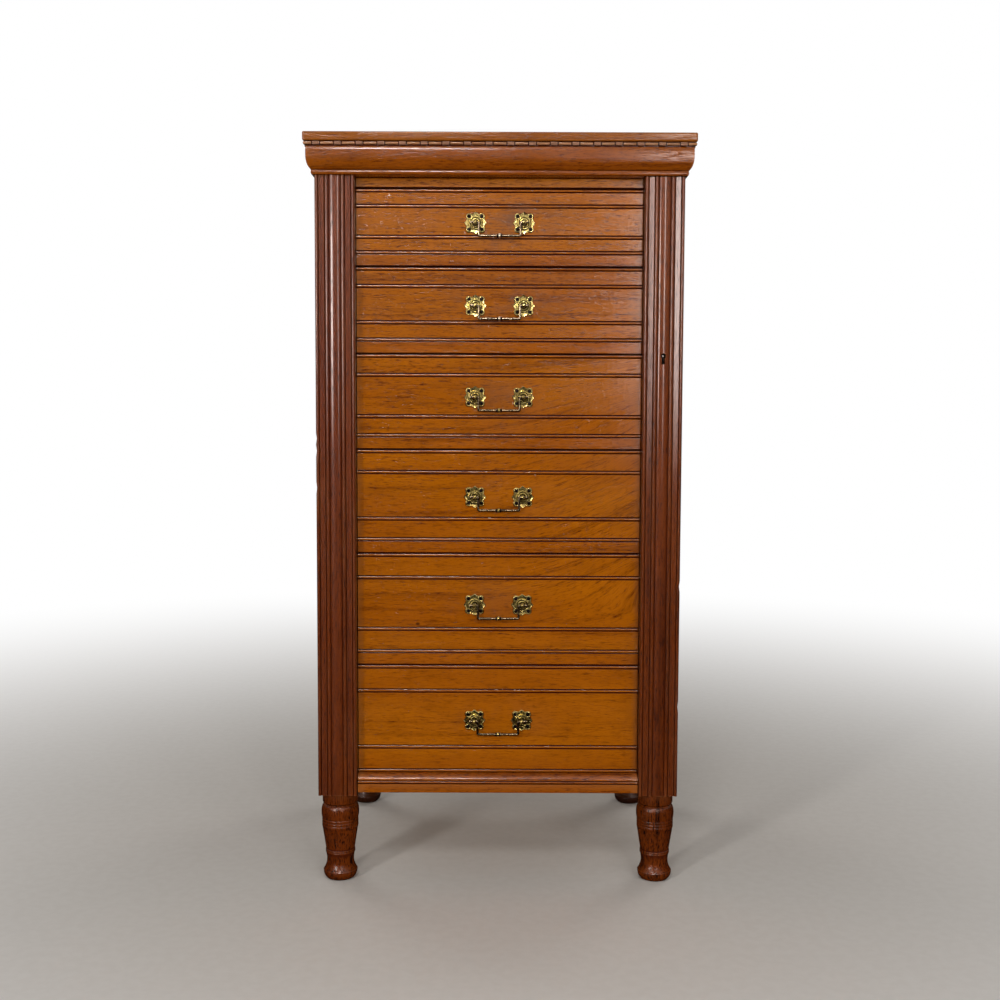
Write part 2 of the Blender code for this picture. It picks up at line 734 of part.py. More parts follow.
def make_divider(name, z):
    """A front rail and dust board in one, with a guide for the drawer above at each end."""
    back = BACK_PANEL_Y - JOINT_GAP
    shoulder = FRAME_BACK_Y + JOINT_GAP
    width = INNER_HALF - JOINT_GAP
    plan = [
        (-DRAWER_HALF, RAIL_FACE_Y),
        (DRAWER_HALF, RAIL_FACE_Y),
        (DRAWER_HALF, shoulder),
        (width, shoulder),
        (width, back),
        (-width, back),
        (-width, shoulder),
        (-DRAWER_HALF, shoulder),
    ]
    mesh = outline_mesh(name, [plan], DIVIDER_THICKNESS)
    board = piece(name, mesh, "rail_oak", (0.0, 0.0, z + DIVIDER_THICKNESS / 2))
    for side in (-1, 1):
        guide = box_tool(
            f"{name}_guide_{side + 1}",
            (min(side * OPENING_HALF, side * INNER_HALF), shoulder + JOINT_GAP, z + OVERLAP),
            (
                max(side * OPENING_HALF, side * INNER_HALF),
                back - JOINT_GAP,
                z + DIVIDER_THICKNESS + GUIDE_HEIGHT,
            ),
        )
        join(board, guide)


def make_legs():
    mesh = turned_mesh("leg", leg_profile(), LEG_SIDES)
    x = HALF_WIDTH - LEG_INSET
    for name, place in (
        ("leg_front_left", (-x, FACE_Y + LEG_INSET, 0.0)),
        ("leg_front_right", (x, FACE_Y + LEG_INSET, 0.0)),
        ("leg_back_left", (-x, BACK_Y - LEG_INSET, 0.0)),
        ("leg_back_right", (x, BACK_Y - LEG_INSET, 0.0)),
    ):
        piece(name, mesh, "brown_oak", place)


# Right stile and locking flap

def make_stile():
    """The fixed stile behind the flap, with the keep for the hook and seats for the pivot plates."""
    stile = box(
        "right_stile",
        (OPENING_HALF, STILE_FACE_Y, LEG_HEIGHT),
        (HALF_WIDTH, FRAME_BACK_Y, CORNICE_Z),
        "brown_oak",
    )
    low_x = FLAP_CENTRE_X - HOOK_THICKNESS / 2 - HOOK_SWING_ROOM
    high_x = FLAP_CENTRE_X + HOOK_THICKNESS / 2 + HOOK_CLEARANCE
    mouth_low = HOOK_Z - HOOK_SHANK_HEIGHT / 2 - HOOK_TOE_DEPTH - HOOK_CLEARANCE
    mouth_high = HOOK_Z + HOOK_SHANK_HEIGHT / 2 + HOOK_CLEARANCE
    pocket_back = FLAP_BACK_Y + HOOK_REACH + HOOK_CLEARANCE
    mouth = box_tool(
        "keep_mouth",
        (low_x, STILE_FACE_Y - OVERLAP, mouth_low),
        (high_x, pocket_back - JOINT_GAP, mouth_high),
    )
    pocket = box_tool(
        "keep_pocket",
        (low_x - JOINT_GAP, STILE_FACE_Y + KEEP_LIP, mouth_low - HOOK_TRAVEL),
        (high_x + JOINT_GAP, pocket_back, mouth_high + JOINT_GAP),
    )
    cut(stile, mouth)
    cut(stile, pocket)
    half = PIVOT_PLATE_WIDTH / 2 + JOINT_GAP
    tail_y = STILE_FACE_Y + PIVOT_PLATE_TAIL + JOINT_GAP
    depth = PIVOT_PLATE_THICKNESS + JOINT_GAP
    for name, low_z, high_z in (
        ("lower_plate_seat", LEG_HEIGHT - OVERLAP, LEG_HEIGHT + depth),
        ("upper_plate_seat", CORNICE_Z - depth, CORNICE_Z + OVERLAP),
    ):
        seat = box_tool(
            name, (PIVOT_X - half, STILE_FACE_Y - OVERLAP, low_z), (PIVOT_X + half, tail_y, high_z)
        )
        cut(stile, seat)


def pivot_plate_mesh():
    """A plate with a round nose over the pivot axis, and the pin standing on it."""
    half = PIVOT_PLATE_WIDTH / 2
    tail = STILE_FACE_Y + PIVOT_PLATE_TAIL - PIVOT_Y
    plan = arc((0.0, 0.0), half, 180, 360, REED_STEPS) + [(half, tail), (-half, tail)]
    plate = tool("pivot_plate", outline_mesh("pivot_plate", [plan], PIVOT_PLATE_THICKNESS), (0, 0, 0))
    length = PIVOT_PLATE_THICKNESS / 2 + PIVOT_PIN_LENGTH
    pin = tool("pivot_pin", rod_mesh("pivot_pin", PIVOT_PIN_RADIUS, length, PIN_SIDES), (0, 0, length / 2))
    join(plate, pin)
    return finished_mesh(plate, [pin])


def make_pivots():
    mesh = pivot_plate_mesh()
    lower_z = LEG_HEIGHT + PIVOT_PLATE_THICKNESS / 2
    upper_z = CORNICE_Z - PIVOT_PLATE_THICKNESS / 2
    piece("flap_pivot_bottom", mesh, "steel", (PIVOT_X, PIVOT_Y, lower_z))
    upper = mesh.copy()
    upper.transform(Matrix.Diagonal((1.0, 1.0, -1.0, 1.0)))
    upper.flip_normals()
    piece("flap_pivot_top", upper, "steel", (PIVOT_X, PIVOT_Y, upper_z))


def flap_outline():
    """The flap in plan, with its outer back edge rounded about the pivot axis."""
    front = reeded_front()
    corner = arc((PILASTER_WIDTH - PIVOT_INSET, FLAP_THICKNESS - PIVOT_INSET), PIVOT_INSET, 0, 90, ARC_STEPS)
    return front + corner + [(0.0, FLAP_THICKNESS)]


def keyhole_outline():
    """A round hole with a slot under it, drawn as (across, height) about the round centre."""
    half = KEYHOLE_SLOT_WIDTH / 2
    lean = math.degrees(math.asin(half / KEYHOLE_RADIUS))
    head = arc((0.0, 0.0), KEYHOLE_RADIUS, -90 + lean, 270 - lean, PIN_SIDES)
    return head + [(-half, -KEYHOLE_SLOT_LENGTH), (half, -KEYHOLE_SLOT_LENGTH)]


def make_flap(swing):
    low_z = LEG_HEIGHT + FLAP_END_GAP
    high_z = CORNICE_Z - FLAP_END_GAP
    mesh = outline_mesh("locking_flap", [flap_outline()], high_z - low_z)
    flap = piece("locking_flap", mesh, "brown_oak", (OPENING_HALF, FACE_Y, (low_z + high_z) / 2), swing)
    bore = PIVOT_PIN_RADIUS + PIN_CLEARANCE
    room = PIVOT_PLATE_WIDTH / 2 + PLATE_CLEARANCE
    notch_depth = PIVOT_PLATE_THICKNESS + 2 * JOINT_GAP
    bore_length = 2 * (PIVOT_PIN_LENGTH + PIVOT_PLATE_THICKNESS + PLATE_CLEARANCE)
    for name, end, low, high in (
        ("lower", LEG_HEIGHT, LEG_HEIGHT - OVERLAP, LEG_HEIGHT + notch_depth),
        ("upper", CORNICE_Z, CORNICE_Z - notch_depth, CORNICE_Z + OVERLAP),
    ):
        notch = box_tool(
            f"{name}_plate_notch",
            (PIVOT_X - room, PIVOT_Y - room, low),
            (HALF_WIDTH + OVERLAP, FLAP_BACK_Y + OVERLAP, high),
            swing,
        )
        cut(flap, notch)
        drill = rod_mesh(f"{name}_pin_bore", bore, bore_length, PIN_SIDES)
        cut(flap, tool(f"{name}_pin_bore", drill, (PIVOT_X, PIVOT_Y, end), swing))
    pocket = box_tool(
        "lock_pocket",
        (
            FLAP_CENTRE_X - LOCK_CASE_WIDTH / 2 - JOINT_GAP,
            FLAP_BACK_Y - LOCK_CASE_DEPTH - JOINT_GAP,
            KEYHOLE_HEIGHT - LOCK_CASE_BELOW - JOINT_GAP,
        ),
        (
            FLAP_CENTRE_X + LOCK_CASE_WIDTH / 2 + JOINT_GAP,
            FLAP_BACK_Y + OVERLAP,
            KEYHOLE_HEIGHT + LOCK_CASE_ABOVE + JOINT_GAP,
        ),
        swing,
    )
    cut(flap, pocket)
    reach = FLAP_THICKNESS - LOCK_CASE_DEPTH + 2 * OVERLAP
    keyhole = outline_mesh("keyhole", [keyhole_outline()], reach)
    keyhole.transform(Matrix.Rotation(math.pi / 2, 4, "X"))
    place = (FLAP_CENTRE_X, FACE_Y + reach / 2 - OVERLAP, KEYHOLE_HEIGHT)
    cut(flap, tool("keyhole", keyhole, place, swing))


def make_lock(swing):
    """The lock case let into the flap's back, and the hook that slides down behind the keep's lip."""
    front_y = FLAP_BACK_Y - LOCK_CASE_DEPTH
    case = box(
        "lock_case",
        (FLAP_CENTRE_X - LOCK_CASE_WIDTH / 2, front_y, KEYHOLE_HEIGHT - LOCK_CASE_BELOW),
        (FLAP_CENTRE_X + LOCK_CASE_WIDTH / 2, FLAP_BACK_Y, KEYHOLE_HEIGHT + LOCK_CASE_ABOVE),
        "steel",
        swing,
    )
    pin_length = FLAP_THICKNESS - LOCK_CASE_DEPTH - KEY_PIN_SETBACK + OVERLAP
    pin = rod_mesh("key_pin", KEY_PIN_RADIUS, pin_length, HOLE_SIDES)
    pin.transform(Matrix.Rotation(math.pi / 2, 4, "X"))
    pin_y = front_y + OVERLAP - pin_length / 2
    join(case, tool("key_pin", pin, (FLAP_CENTRE_X, pin_y, KEYHOLE_HEIGHT), swing))
    half_height = HOOK_SHANK_HEIGHT / 2
    slot = box_tool(
        "hook_slot",
        (
            FLAP_CENTRE_X - HOOK_THICKNESS / 2 - JOINT_GAP,
            FLAP_BACK_Y - HOOK_SHANK_INSIDE - JOINT_GAP,
            HOOK_Z - half_height - HOOK_TRAVEL - JOINT_GAP,
        ),
        (
            FLAP_CENTRE_X + HOOK_THICKNESS / 2 + JOINT_GAP,
            FLAP_BACK_Y + OVERLAP,
            HOOK_Z + half_height + JOINT_GAP,
        ),
        swing,
    )
    cut(case, slot)
    side_view = [
        (-HOOK_SHANK_INSIDE, -half_height),
        (HOOK_REACH - HOOK_TOE_LENGTH, -half_height),
        (HOOK_REACH - HOOK_TOE_LENGTH, -half_height - HOOK_TOE_DEPTH),
        (HOOK_REACH, -half_height - HOOK_TOE_DEPTH),
        (HOOK_REACH, half_height),
        (-HOOK_SHANK_INSIDE, half_height),
    ]
    hook = across(outline_mesh("lock_bolt", [side_view], HOOK_THICKNESS))
    piece("lock_bolt", hook, "steel", (FLAP_CENTRE_X, FLAP_BACK_Y, HOOK_Z), swing)


# Drawers

def make_drawer(row, floor_z, rosette, bail):
    """One drawer in its opening: front, box, bottom board and handle."""
    number = row + 1
    height = OPENING_HEIGHTS[row] - DRAWER_TOP_GAP - JOINT_GAP
    low_z = floor_z + JOINT_GAP
    slide = carrier(f"drawer_{number}", (0.0, DRAWER_FACE_Y, low_z))
    front = make_drawer_front(number, height, FIRST_STRIP + STRIP_STEP * row, low_z, slide)
    make_drawer_box(number, height - DRAWER_SIDE_DROP, low_z, slide)
    handle_z = low_z + height / 2 - HANDLE_DROP
    plate_y = DRAWER_FACE_Y - JOINT_GAP
    for name, side in (("left", -1), ("right", 1)):
        x = side * HANDLE_SPAN / 2
        turn = (math.pi / 2, 0.0, 0.0)
        piece(f"handle_{number}_rosette_{name}", rosette, "brass", (x, plate_y, handle_z), slide, turn)
        depth = SHANK_LENGTH + JOINT_GAP
        drill = rod_mesh("shank_bore", SHANK_RADIUS + PIN_CLEARANCE, 2 * depth, POST_SIDES)
        drill.transform(Matrix.Rotation(math.pi / 2, 4, "X"))
        bore = tool(f"handle_{number}_bore_{name}", drill, (x, DRAWER_FACE_Y, handle_z), slide)
        cut(front, bore)
    pivot = (0.0, plate_y - PIVOT_STANDOFF, handle_z)
    piece(f"handle_{number}_bail", bail, "bronze", pivot, slide)


def make_drawer_front(number, height, strip, low_z, slide):
    name = f"drawer_{number}_front"
    outline = [(depth, place) for place, depth in drawer_front_line(height, strip)]
    outline += [(FRONT_THICKNESS, height), (FRONT_THICKNESS, 0.0)]
    mesh = across(outline_mesh(name, [outline], 2 * DRAWER_HALF))
    return piece(name, mesh, "golden_oak", (0.0, DRAWER_FACE_Y, low_z), slide)


def make_drawer_box(number, height, low_z, slide):
    """Two sides and a back over a bottom board that slides in the sides' grooves."""
    front_y = DRAWER_FACE_Y + FRONT_THICKNESS + JOINT_GAP
    back_y = BACK_PANEL_Y - DRAWER_BACK_ROOM
    inner = DRAWER_HALF - DRAWER_SIDE_THICKNESS
    bottom_z = low_z + DRAWER_BOTTOM_RISE
    bottom_top = bottom_z + DRAWER_BOTTOM_THICKNESS
    name = f"drawer_{number}_box"
    plan = [
        (-DRAWER_HALF, front_y),
        (-inner, front_y),
        (-inner, back_y - DRAWER_BACK_THICKNESS),
        (inner, back_y - DRAWER_BACK_THICKNESS),
        (inner, front_y),
        (DRAWER_HALF, front_y),
        (DRAWER_HALF, back_y),
        (-DRAWER_HALF, back_y),
    ]
    walls = outline_mesh(name, [plan], height)
    sides = piece(name, walls, "inner_oak", (0.0, 0.0, low_z + height / 2), slide)
    groove = box_tool(
        f"drawer_{number}_groove",
        (-inner - DRAWER_GROOVE_DEPTH, front_y - OVERLAP, bottom_z - JOINT_GAP),
        (inner + DRAWER_GROOVE_DEPTH, back_y - DRAWER_BACK_THICKNESS + OVERLAP, bottom_top + JOINT_GAP),
        slide,
    )
    under_back = box_tool(
        f"drawer_{number}_under_back",
        (-inner, back_y - 2 * DRAWER_BACK_THICKNESS, low_z - OVERLAP),
        (inner, back_y + OVERLAP, bottom_top + JOINT_GAP),
        slide,
    )
    cut(sides, groove)
    cut(sides, under_back)
    reach = inner + DRAWER_GROOVE_DEPTH - JOINT_GAP
    box(
        f"drawer_{number}_bottom",
        (-reach, front_y, bottom_z),
        (reach, back_y - DRAWER_BACK_THICKNESS + OVERLAP - JOINT_GAP, bottom_top),
        "inner_oak",
        slide,
    )


# Handles

def rosette_mesh():
    """A pierced plate with a raised ring, a post bored for the bail's pin, and a shank behind."""
    holes = []
    for x in (-ROSETTE_EAR_OFFSET, ROSETTE_EAR_OFFSET):
        for y in (-ROSETTE_EAR_OFFSET, ROSETTE_EAR_OFFSET):
            holes.append(arc((x, y), ROSETTE_HOLE_RADIUS, 0, 360 - 360 / HOLE_SIDES, HOLE_SIDES - 1))
    plate_shape = outline_mesh("rosette", [rosette_outline()] + holes, ROSETTE_THICKNESS)
    plate = tool("rosette", plate_shape, (0.0, 0.0, ROSETTE_THICKNESS / 2))
    ring_outer = ROSETTE_RING_RADIUS + ROSETTE_RING_WIDTH / 2
    ring_inner = ROSETTE_RING_RADIUS - ROSETTE_RING_WIDTH / 2
    post_top = PIVOT_STANDOFF + POST_BEYOND_PIN
    profile = [
        (0.0, post_top),
        (POST_RADIUS - POST_ROUND, post_top),
        (POST_RADIUS, post_top - POST_ROUND),
        (POST_RADIUS, ROSETTE_DISH_HEIGHT),
        (ring_inner, ROSETTE_DISH_HEIGHT),
        (ROSETTE_RING_RADIUS, ROSETTE_RING_HEIGHT),
        (ring_outer, ROSETTE_THICKNESS / 2),
        (SHANK_RADIUS, ROSETTE_THICKNESS / 2),
        (SHANK_RADIUS, JOINT_GAP - SHANK_LENGTH),
        (0.0, JOINT_GAP - SHANK_LENGTH),
    ]
    boss = tool("rosette_boss", turned_mesh("rosette_boss", profile, POST_SIDES), (0.0, 0.0, 0.0))
    join(plate, boss)
    drill = rod_mesh("pin_bore", BAIL_RADIUS + PIN_CLEARANCE, 2 * (POST_RADIUS + OVERLAP), POST_SIDES)
    drill.transform(Matrix.Rotation(math.pi / 2, 4, "Y"))
    bore = tool("pin_bore", drill, (0.0, 0.0, PIVOT_STANDOFF))
    cut(plate, bore)
    return finished_mesh(plate, [boss, bore])


def bail_mesh():
    """A square bail whose ends turn outwards through the posts, with a knop on the grip."""
    leg_x = BAIL_LEG_SPAN / 2
    pin_x = HANDLE_SPAN / 2 + POST_RADIUS + BAIL_PIN_BEYOND_POST
    bend = BAIL_BEND_RADIUS
    half = [(pin_x, 0.0)]
    half += arc((leg_x + bend, -bend), bend, 90, 180, BEND_STEPS)
    half += arc((leg_x - bend, bend - BAIL_DROP), bend, 0, -90, BEND_STEPS)
    mirrored = [(-x, z) for x, z in reversed(half)]
    wire = wire_mesh("bail", [(x, 0.0, z) for x, z in half + mirrored], BAIL_RADIUS)
    bail = tool("bail", wire, (0.0, 0.0, 0.0))
    waist = BAIL_RADIUS / 2
    line = [(0.0, KNOP_LENGTH / 2), (waist, KNOP_LENGTH / 2)]
    for degrees in (45, 0, -45):
        angle = math.radians(degrees)
        line.append((waist + (KNOP_RADIUS - waist) * math.cos(angle), KNOP_LENGTH / 2 * math.sin(angle)))
    line += [(waist, -KNOP_LENGTH / 2), (0.0, -KNOP_LENGTH / 2)]
    knop_shape = turned_mesh("knop", line, POST_SIDES)
    knop_shape.transform(Matrix.Rotation(math.pi / 2, 4, "Y"))
    knop = tool("knop", knop_shape, (0.0, 0.0, -BAIL_DROP))
    join(bail, knop)
    return finished_mesh(bail, [knop])


def make_drawers():
    rosette = rosette_mesh()
    bail = bail_mesh()
    floor_z = STACK_TOP_Z
    for row in range(DRAWER_COUNT):
        floor_z -= OPENING_HEIGHTS[row]
        make_drawer(row, floor_z, rosette, bail)
        floor_z -= DIVIDER_THICKNESS


make_case()
make_stile()
make_pivots()
flap_swing = carrier("flap_swing", Vector((PIVOT_X, PIVOT_Y, LEG_HEIGHT)))
make_flap(flap_swing)
make_lock(flap_swing)
make_drawers()
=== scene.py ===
"""Looks of a wellington chest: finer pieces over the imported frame, its oak, brass and steel, and a studio.

Units are metres and +Z is up. The front faces -Y. Drawers are numbered from the top.
"""

import math
from contextlib import contextmanager

import bmesh
import bpy
from mathutils import Matrix, Vector


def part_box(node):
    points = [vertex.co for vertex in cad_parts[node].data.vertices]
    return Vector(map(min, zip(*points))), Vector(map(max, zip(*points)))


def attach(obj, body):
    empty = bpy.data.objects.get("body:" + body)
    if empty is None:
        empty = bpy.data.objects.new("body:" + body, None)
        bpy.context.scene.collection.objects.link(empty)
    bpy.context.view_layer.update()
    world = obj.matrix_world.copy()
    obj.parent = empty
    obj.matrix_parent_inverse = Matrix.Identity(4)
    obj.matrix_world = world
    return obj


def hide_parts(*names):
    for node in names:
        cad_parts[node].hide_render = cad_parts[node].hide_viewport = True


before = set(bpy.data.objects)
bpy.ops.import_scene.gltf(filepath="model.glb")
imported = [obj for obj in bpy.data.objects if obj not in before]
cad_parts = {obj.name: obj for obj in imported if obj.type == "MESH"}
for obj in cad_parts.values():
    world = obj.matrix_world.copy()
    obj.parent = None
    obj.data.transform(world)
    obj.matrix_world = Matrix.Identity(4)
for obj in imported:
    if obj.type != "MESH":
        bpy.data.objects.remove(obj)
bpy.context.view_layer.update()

# Places read from the frame
PILASTER_LOW, PILASTER_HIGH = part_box("left_pilaster")
FLAP_LOW, FLAP_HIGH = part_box("locking_flap")
STILE_LOW, STILE_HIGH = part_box("right_stile")
TOP_LOW, TOP_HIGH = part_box("top_board")
CORNICE_LOW, CORNICE_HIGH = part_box("cornice")
RAIL_LOW, RAIL_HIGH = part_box("top_rail")
BASE_LOW, BASE_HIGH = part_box("base_rail")
BACK_LOW, BACK_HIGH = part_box("back_panel")
FRAME_LOW, FRAME_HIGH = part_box("bottom_frame")
LOCK_LOW, LOCK_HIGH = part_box("lock_case")
BOLT_LOW, BOLT_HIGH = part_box("lock_bolt")
HALF_WIDTH = -PILASTER_LOW.x
FACE_Y = PILASTER_LOW.y
FRAME_BACK_Y = PILASTER_HIGH.y
BACK_Y = TOP_HIGH.y
PILASTER_WIDTH = PILASTER_HIGH.x - PILASTER_LOW.x
DRAWER_COUNT = 6

# Fits between neighbouring pieces
JOINT_GAP = 0.0003
PIN_CLEARANCE = 0.0002
PLATE_CLEARANCE = 0.001
OVERLAP = 0.004

# Cornice, from its lower edge up
CORNICE_BEAD_HEIGHT = 0.008
CORNICE_BEAD_PROJECTION = 0.0045
CORNICE_QUIRK_PROJECTION = 0.0028
OVOLO_HEIGHT = 0.0206
OVOLO_PROJECTION = 0.0117
CORNICE_BAND_HEIGHT = 0.014
BAND_LEAN = 0.0012
BAND_LEAN_HEIGHT = 0.0065
DENTIL_HEIGHT = 0.0075
DENTIL_PROJECTION = 0.015
DENTIL_WIDTH = 0.010
DENTIL_PITCH = 0.0333
DENTIL_BLOCK_HEIGHT = 0.0046
STRIP_GROOVE = 0.002
STRIP_GAP = 0.0020
BAR_HEIGHT = 0.0036
BAR_PROJECTION = 0.0145
BAR_ROUND = 0.0009
STRIP_FOOT = CORNICE_BEAD_HEIGHT + OVOLO_HEIGHT + CORNICE_BAND_HEIGHT

# Reeds of the pilaster and the flap, from either edge to the middle; nicks are (height, reach)
EDGE_BEAD_WIDTH = 0.0055
INNER_BEAD_WIDTH = 0.0064
CENTRE_REED_WIDTH = 0.0186
REED_DEPTH = 0.003
FLAT_DEPTH = 0.0016
FLAT_QUIRK = 0.0012
NICK_DEPTH = 0.0011
PILASTER_NICKS = ((0.742, 0.006), (0.716, 0.005), (0.695, 0.008), (0.640, 0.006), (0.305, 0.007))
FLAP_NICKS = ((0.838, 0.008), (0.829, 0.007), (0.527, 0.008), (0.500, 0.006), (0.482, 0.009), (0.290, 0.006))

# Beads of the drawer fronts
FRONT_BEAD_WIDTH = 0.0048
FRONT_BEAD_DEPTH = 0.0020
FRONT_BEAD_QUIRK = 0.0013
FIRST_STRIP = 0.0193
STRIP_STEP = 0.003
PANEL_STEP = 0.009

# Rails across the front
RAIL_ARRIS = 0.0007
RAIL_SHADE = 0.0013
RAIL_LIFT = 0.0010

# Painted shade, partly old dirt, behind the face; the painted shadow of the flap at the right ends; stains
# from hands round the handles
SHADE_AND_DIRT_REACH = 0.0042
END_SHADE = 0.12
END_SHADE_WIDTH = 0.014
HANDLING_WIDTH = 0.075
HANDLING_HEIGHT = 0.034

# Flats: the area from which they get a border, its width, and how near its ends a moulding's flat has points
FLAT_AREA = 0.0008
FLAT_BORDER = 0.0006
FLAT_MARGIN = 0.0009

# Drawer boxes and what they run on
DRAWER_SIDE_THICKNESS = 0.010
DRAWER_BACK_THICKNESS = 0.010
DRAWER_GROOVE_DEPTH = 0.005
TAIL_LENGTH = 0.014
TAIL_SHARE = 0.30
TAIL_SPLAY = 0.0022
TAIL_FIT = 0.00012
TAIL_PITCH = 0.036
BOX_BACK_DROP = 0.004
DUST_BOARD_THICKNESS = 0.007
RUNNER_WIDTH = 0.070

# Base rail, from its lower edge up
BASE_LIFT = 0.004
BASE_ARRIS = 0.0016
BASE_FASCIA_HEIGHT = 0.0140
BASE_QUIRK = 0.0012
BASE_QUIRK_DEPTH = 0.0026
BASE_QUIRK_LEAN = 0.00024
BASE_QUIRK_SIDE = 0.00012
BASE_BEAD_HEIGHT = 0.0036
BASE_BEAD_DEPTH = 0.0018
BASE_NOSE_LIP = 0.0006
BASE_NOSE_DEPTH = 0.0144

# Back boards and their nails
BACK_BOARD_COUNT = 5
BACK_CHAMFER = 0.0016
NAIL_RADIUS = 0.0028
NAIL_RISE = 0.0006
NAIL_SHOULDER = 0.00048
NAIL_LENGTH = 0.001
NAIL_INSET = 0.022

# Turned legs, from the top down
LEG_NECK_LENGTH = 0.0180
LEG_NECK_STRAIGHT = 0.0145
LEG_NECK_RADIUS = 0.0285
LEG_NECK_FOOT_RADIUS = 0.0240
LEG_BULB_RADIUS = 0.0305
LEG_BULB_RISE = 0.014
LEG_BULB_FALL = 0.011
LEG_BULB_FOOT_RADIUS = 0.0289
LEG_SCRIBE_DEPTH = 0.0006
LEG_RING_COUNT = 3
LEG_RING_HEIGHT = 0.0048
LEG_RING_SWELL = 0.0006
LEG_TAPER_RADIUS = 0.0232
LEG_COLLAR_HEIGHT = 0.0062
LEG_COLLAR_SWELL = 0.0008
LEG_ANKLE_LENGTH = 0.0126
LEG_ANKLE_RADIUS = 0.0218
LEG_FLARE_LENGTH = 0.0162
LEG_FLARE_RADIUS = 0.0276
LEG_FLARE_POWER = 1.8
LEG_FOOT_HEIGHT = 0.0144
LEG_FOOT_RADIUS = 0.0175

# Handles; turns are in degrees
HANDLE_SPAN = 0.0762
ROSETTE_LEAF_REACH = 0.0177
ROSETTE_VALLEY_REACH = 0.0150
ROSETTE_VALLEY_TURN = 20
ROSETTE_EAR_OFFSET = 0.0100
ROSETTE_EARS = [(x * ROSETTE_EAR_OFFSET, 0, z * ROSETTE_EAR_OFFSET) for x in (-1, 1) for z in (-1, 1)]
ROSETTE_EAR_RADIUS = 0.0052
ROSETTE_EAR_SWEEP = 80
ROSETTE_HOLE_RADIUS = 0.0029
ROSETTE_THICKNESS = 0.0022
ROSETTE_RIM = 0.0006
ROSETTE_HOLLOW_WIDTH = 0.0015
ROSETTE_HOLLOW_DEPTH = 0.0005
PIN_HEAD_RADIUS = 0.0026
PIN_HEAD_RISE = 0.0006
EAR_RIM_RADIUS = 0.0038
EAR_RIM_ROUND = 0.0008
RING_RADII = (0.0094, 0.0062)
RING_HEIGHTS = (0.0046, 0.0042)
RING_HALF_WIDTH = 0.0012
DISH_HEIGHT = 0.0030
POST_RADIUS = 0.0034
POST_NECK_RADIUS = 0.0027
POST_NECK_RISE = 0.0014
POST_BEYOND_PIN = 0.0042
SHANK_RADIUS = 0.0025
SHANK_LENGTH = 0.014
PIVOT_STANDOFF = 0.009
BAIL_RADIUS = 0.0020
BAIL_LEG_SPAN = 0.065
BAIL_DROP = 0.021
BAIL_BEND_RADIUS = 0.002
BAIL_PIN_BEYOND_POST = 0.0045
KNOP_RADIUS = 0.0036
KNOP_LENGTH = 0.0042
COLLAR_RADIUS = 0.0030
COLLAR_LENGTH = 0.0022
# Rows from the top whose handles get the lit copies of the metals; the lower rows get darker copies: painted
# light
BRIGHT_ROWS = 2

# Locking flap, its pivots and its lock
PIVOT_INSET = 0.007
PIVOT_PIN_RADIUS = 0.0025
PIVOT_PIN_LENGTH = 0.012
PIVOT_PIN_CHAMFER = 0.0006
PIVOT_PLATE_WIDTH = 0.011
PIVOT_PLATE_THICKNESS = 0.002
KEYHOLE_HEIGHT = 0.848
KEYHOLE_RADIUS = 0.0043
KEYHOLE_SLOT_WIDTH = 0.0056
KEYHOLE_SLOT_LENGTH = 0.0132
KEY_PIN_RADIUS = 0.0012
HOOK_SHANK_HEIGHT = 0.008
HOOK_TOE_LENGTH = 0.0045
HOOK_TOE_DEPTH = 0.005
HOOK_TRAVEL = 0.006
HOOK_CLEARANCE = 0.001
HOOK_SWING_ROOM = 0.005
HOOK_CHAMFER = 0.001
HOOK_ROUND = 0.002
KEEP_LIP = 0.0035
KEEP_PLATE_MARGIN = 0.006
KEEP_PLATE_THICKNESS = 0.0012
SCREW_RADIUS = 0.0024
SCREW_FACE_RADIUS = 0.00192
SCREW_TIP_RADIUS = 0.0012
SCREW_RISE = 0.0003
SCREW_LENGTH = 0.0015
SCREW_SLOT = 0.0005
SCREW_SLOT_REACH = 0.0036
LOCK_CASE_DEPTH = 0.012
LOCK_SCREW_INSET = 0.005
FLAP_ARRIS = 0.0008
FLAP_CENTRE_X = HALF_WIDTH - PILASTER_WIDTH / 2
PIVOT_X = HALF_WIDTH - PIVOT_INSET
PIVOT_Y = FLAP_HIGH.y - PIVOT_INSET
LOCK_BODY_Y = FLAP_HIGH.y - LOCK_CASE_DEPTH
HOOK_Z = BOLT_HIGH.z - HOOK_SHANK_HEIGHT / 2

# Arrises
ARRIS = 0.0008
FINE_ARRIS = 0.0003
THIN_BOARD_ARRIS = 0.0009
BOARD_ARRIS = 0.0012
BOX_ARRIS = 0.0014
FRAME_ARRIS = 0.0015
TOP_ARRIS = 0.0022
LOCK_ARRIS = 0.0006

# Steps of curves, and cuts along mouldings
BEAD_STEPS = 10
REED_STEPS = 22
LEG_RISE_STEPS = 15
LEG_SCRIBE_STEP = 6
LEG_FALL_STEPS = 9
CURVE_STEPS = 10
CAP_STEPS = 6
BEND_STEPS = 8
RAIL_ARRIS_STEPS = 4
BASE_ARRIS_STEPS = 5
KNOP_STEPS = 12
LEG_STEPS = 72
METAL_STEPS = 32
GRIP_STEPS = 24
BORE_STEPS = 20
PIN_STEPS = 16
NAIL_STEPS = 12
WIRE_STEPS = 4
REED_CUTS = 170
CORNICE_CUTS = 40
RETURN_CUTS = 24
FRONT_CUTS = 36
RAIL_CUTS = 20
BASE_CUTS = 30
FLOOR_CUTS = 7

# Limits: how far a direction may stray, which points are one, and from which angle an edge shows as sharp
ALMOST = 0.99
WELD = 0.00001
SMOOTH_ANGLE = math.radians(38)


# Bench work

def deselect():
    bpy.ops.object.select_all(action="DESELECT")


def take(piece):
    """Make a piece the only one selected, and the active one."""
    deselect()
    piece.select_set(True)
    bpy.context.view_layer.objects.active = piece


def scrap(piece):
    bpy.data.objects.remove(piece, do_unlink=True)


def select_all():
    """In edit mode, select everything."""
    bpy.ops.mesh.select_all(action="SELECT")


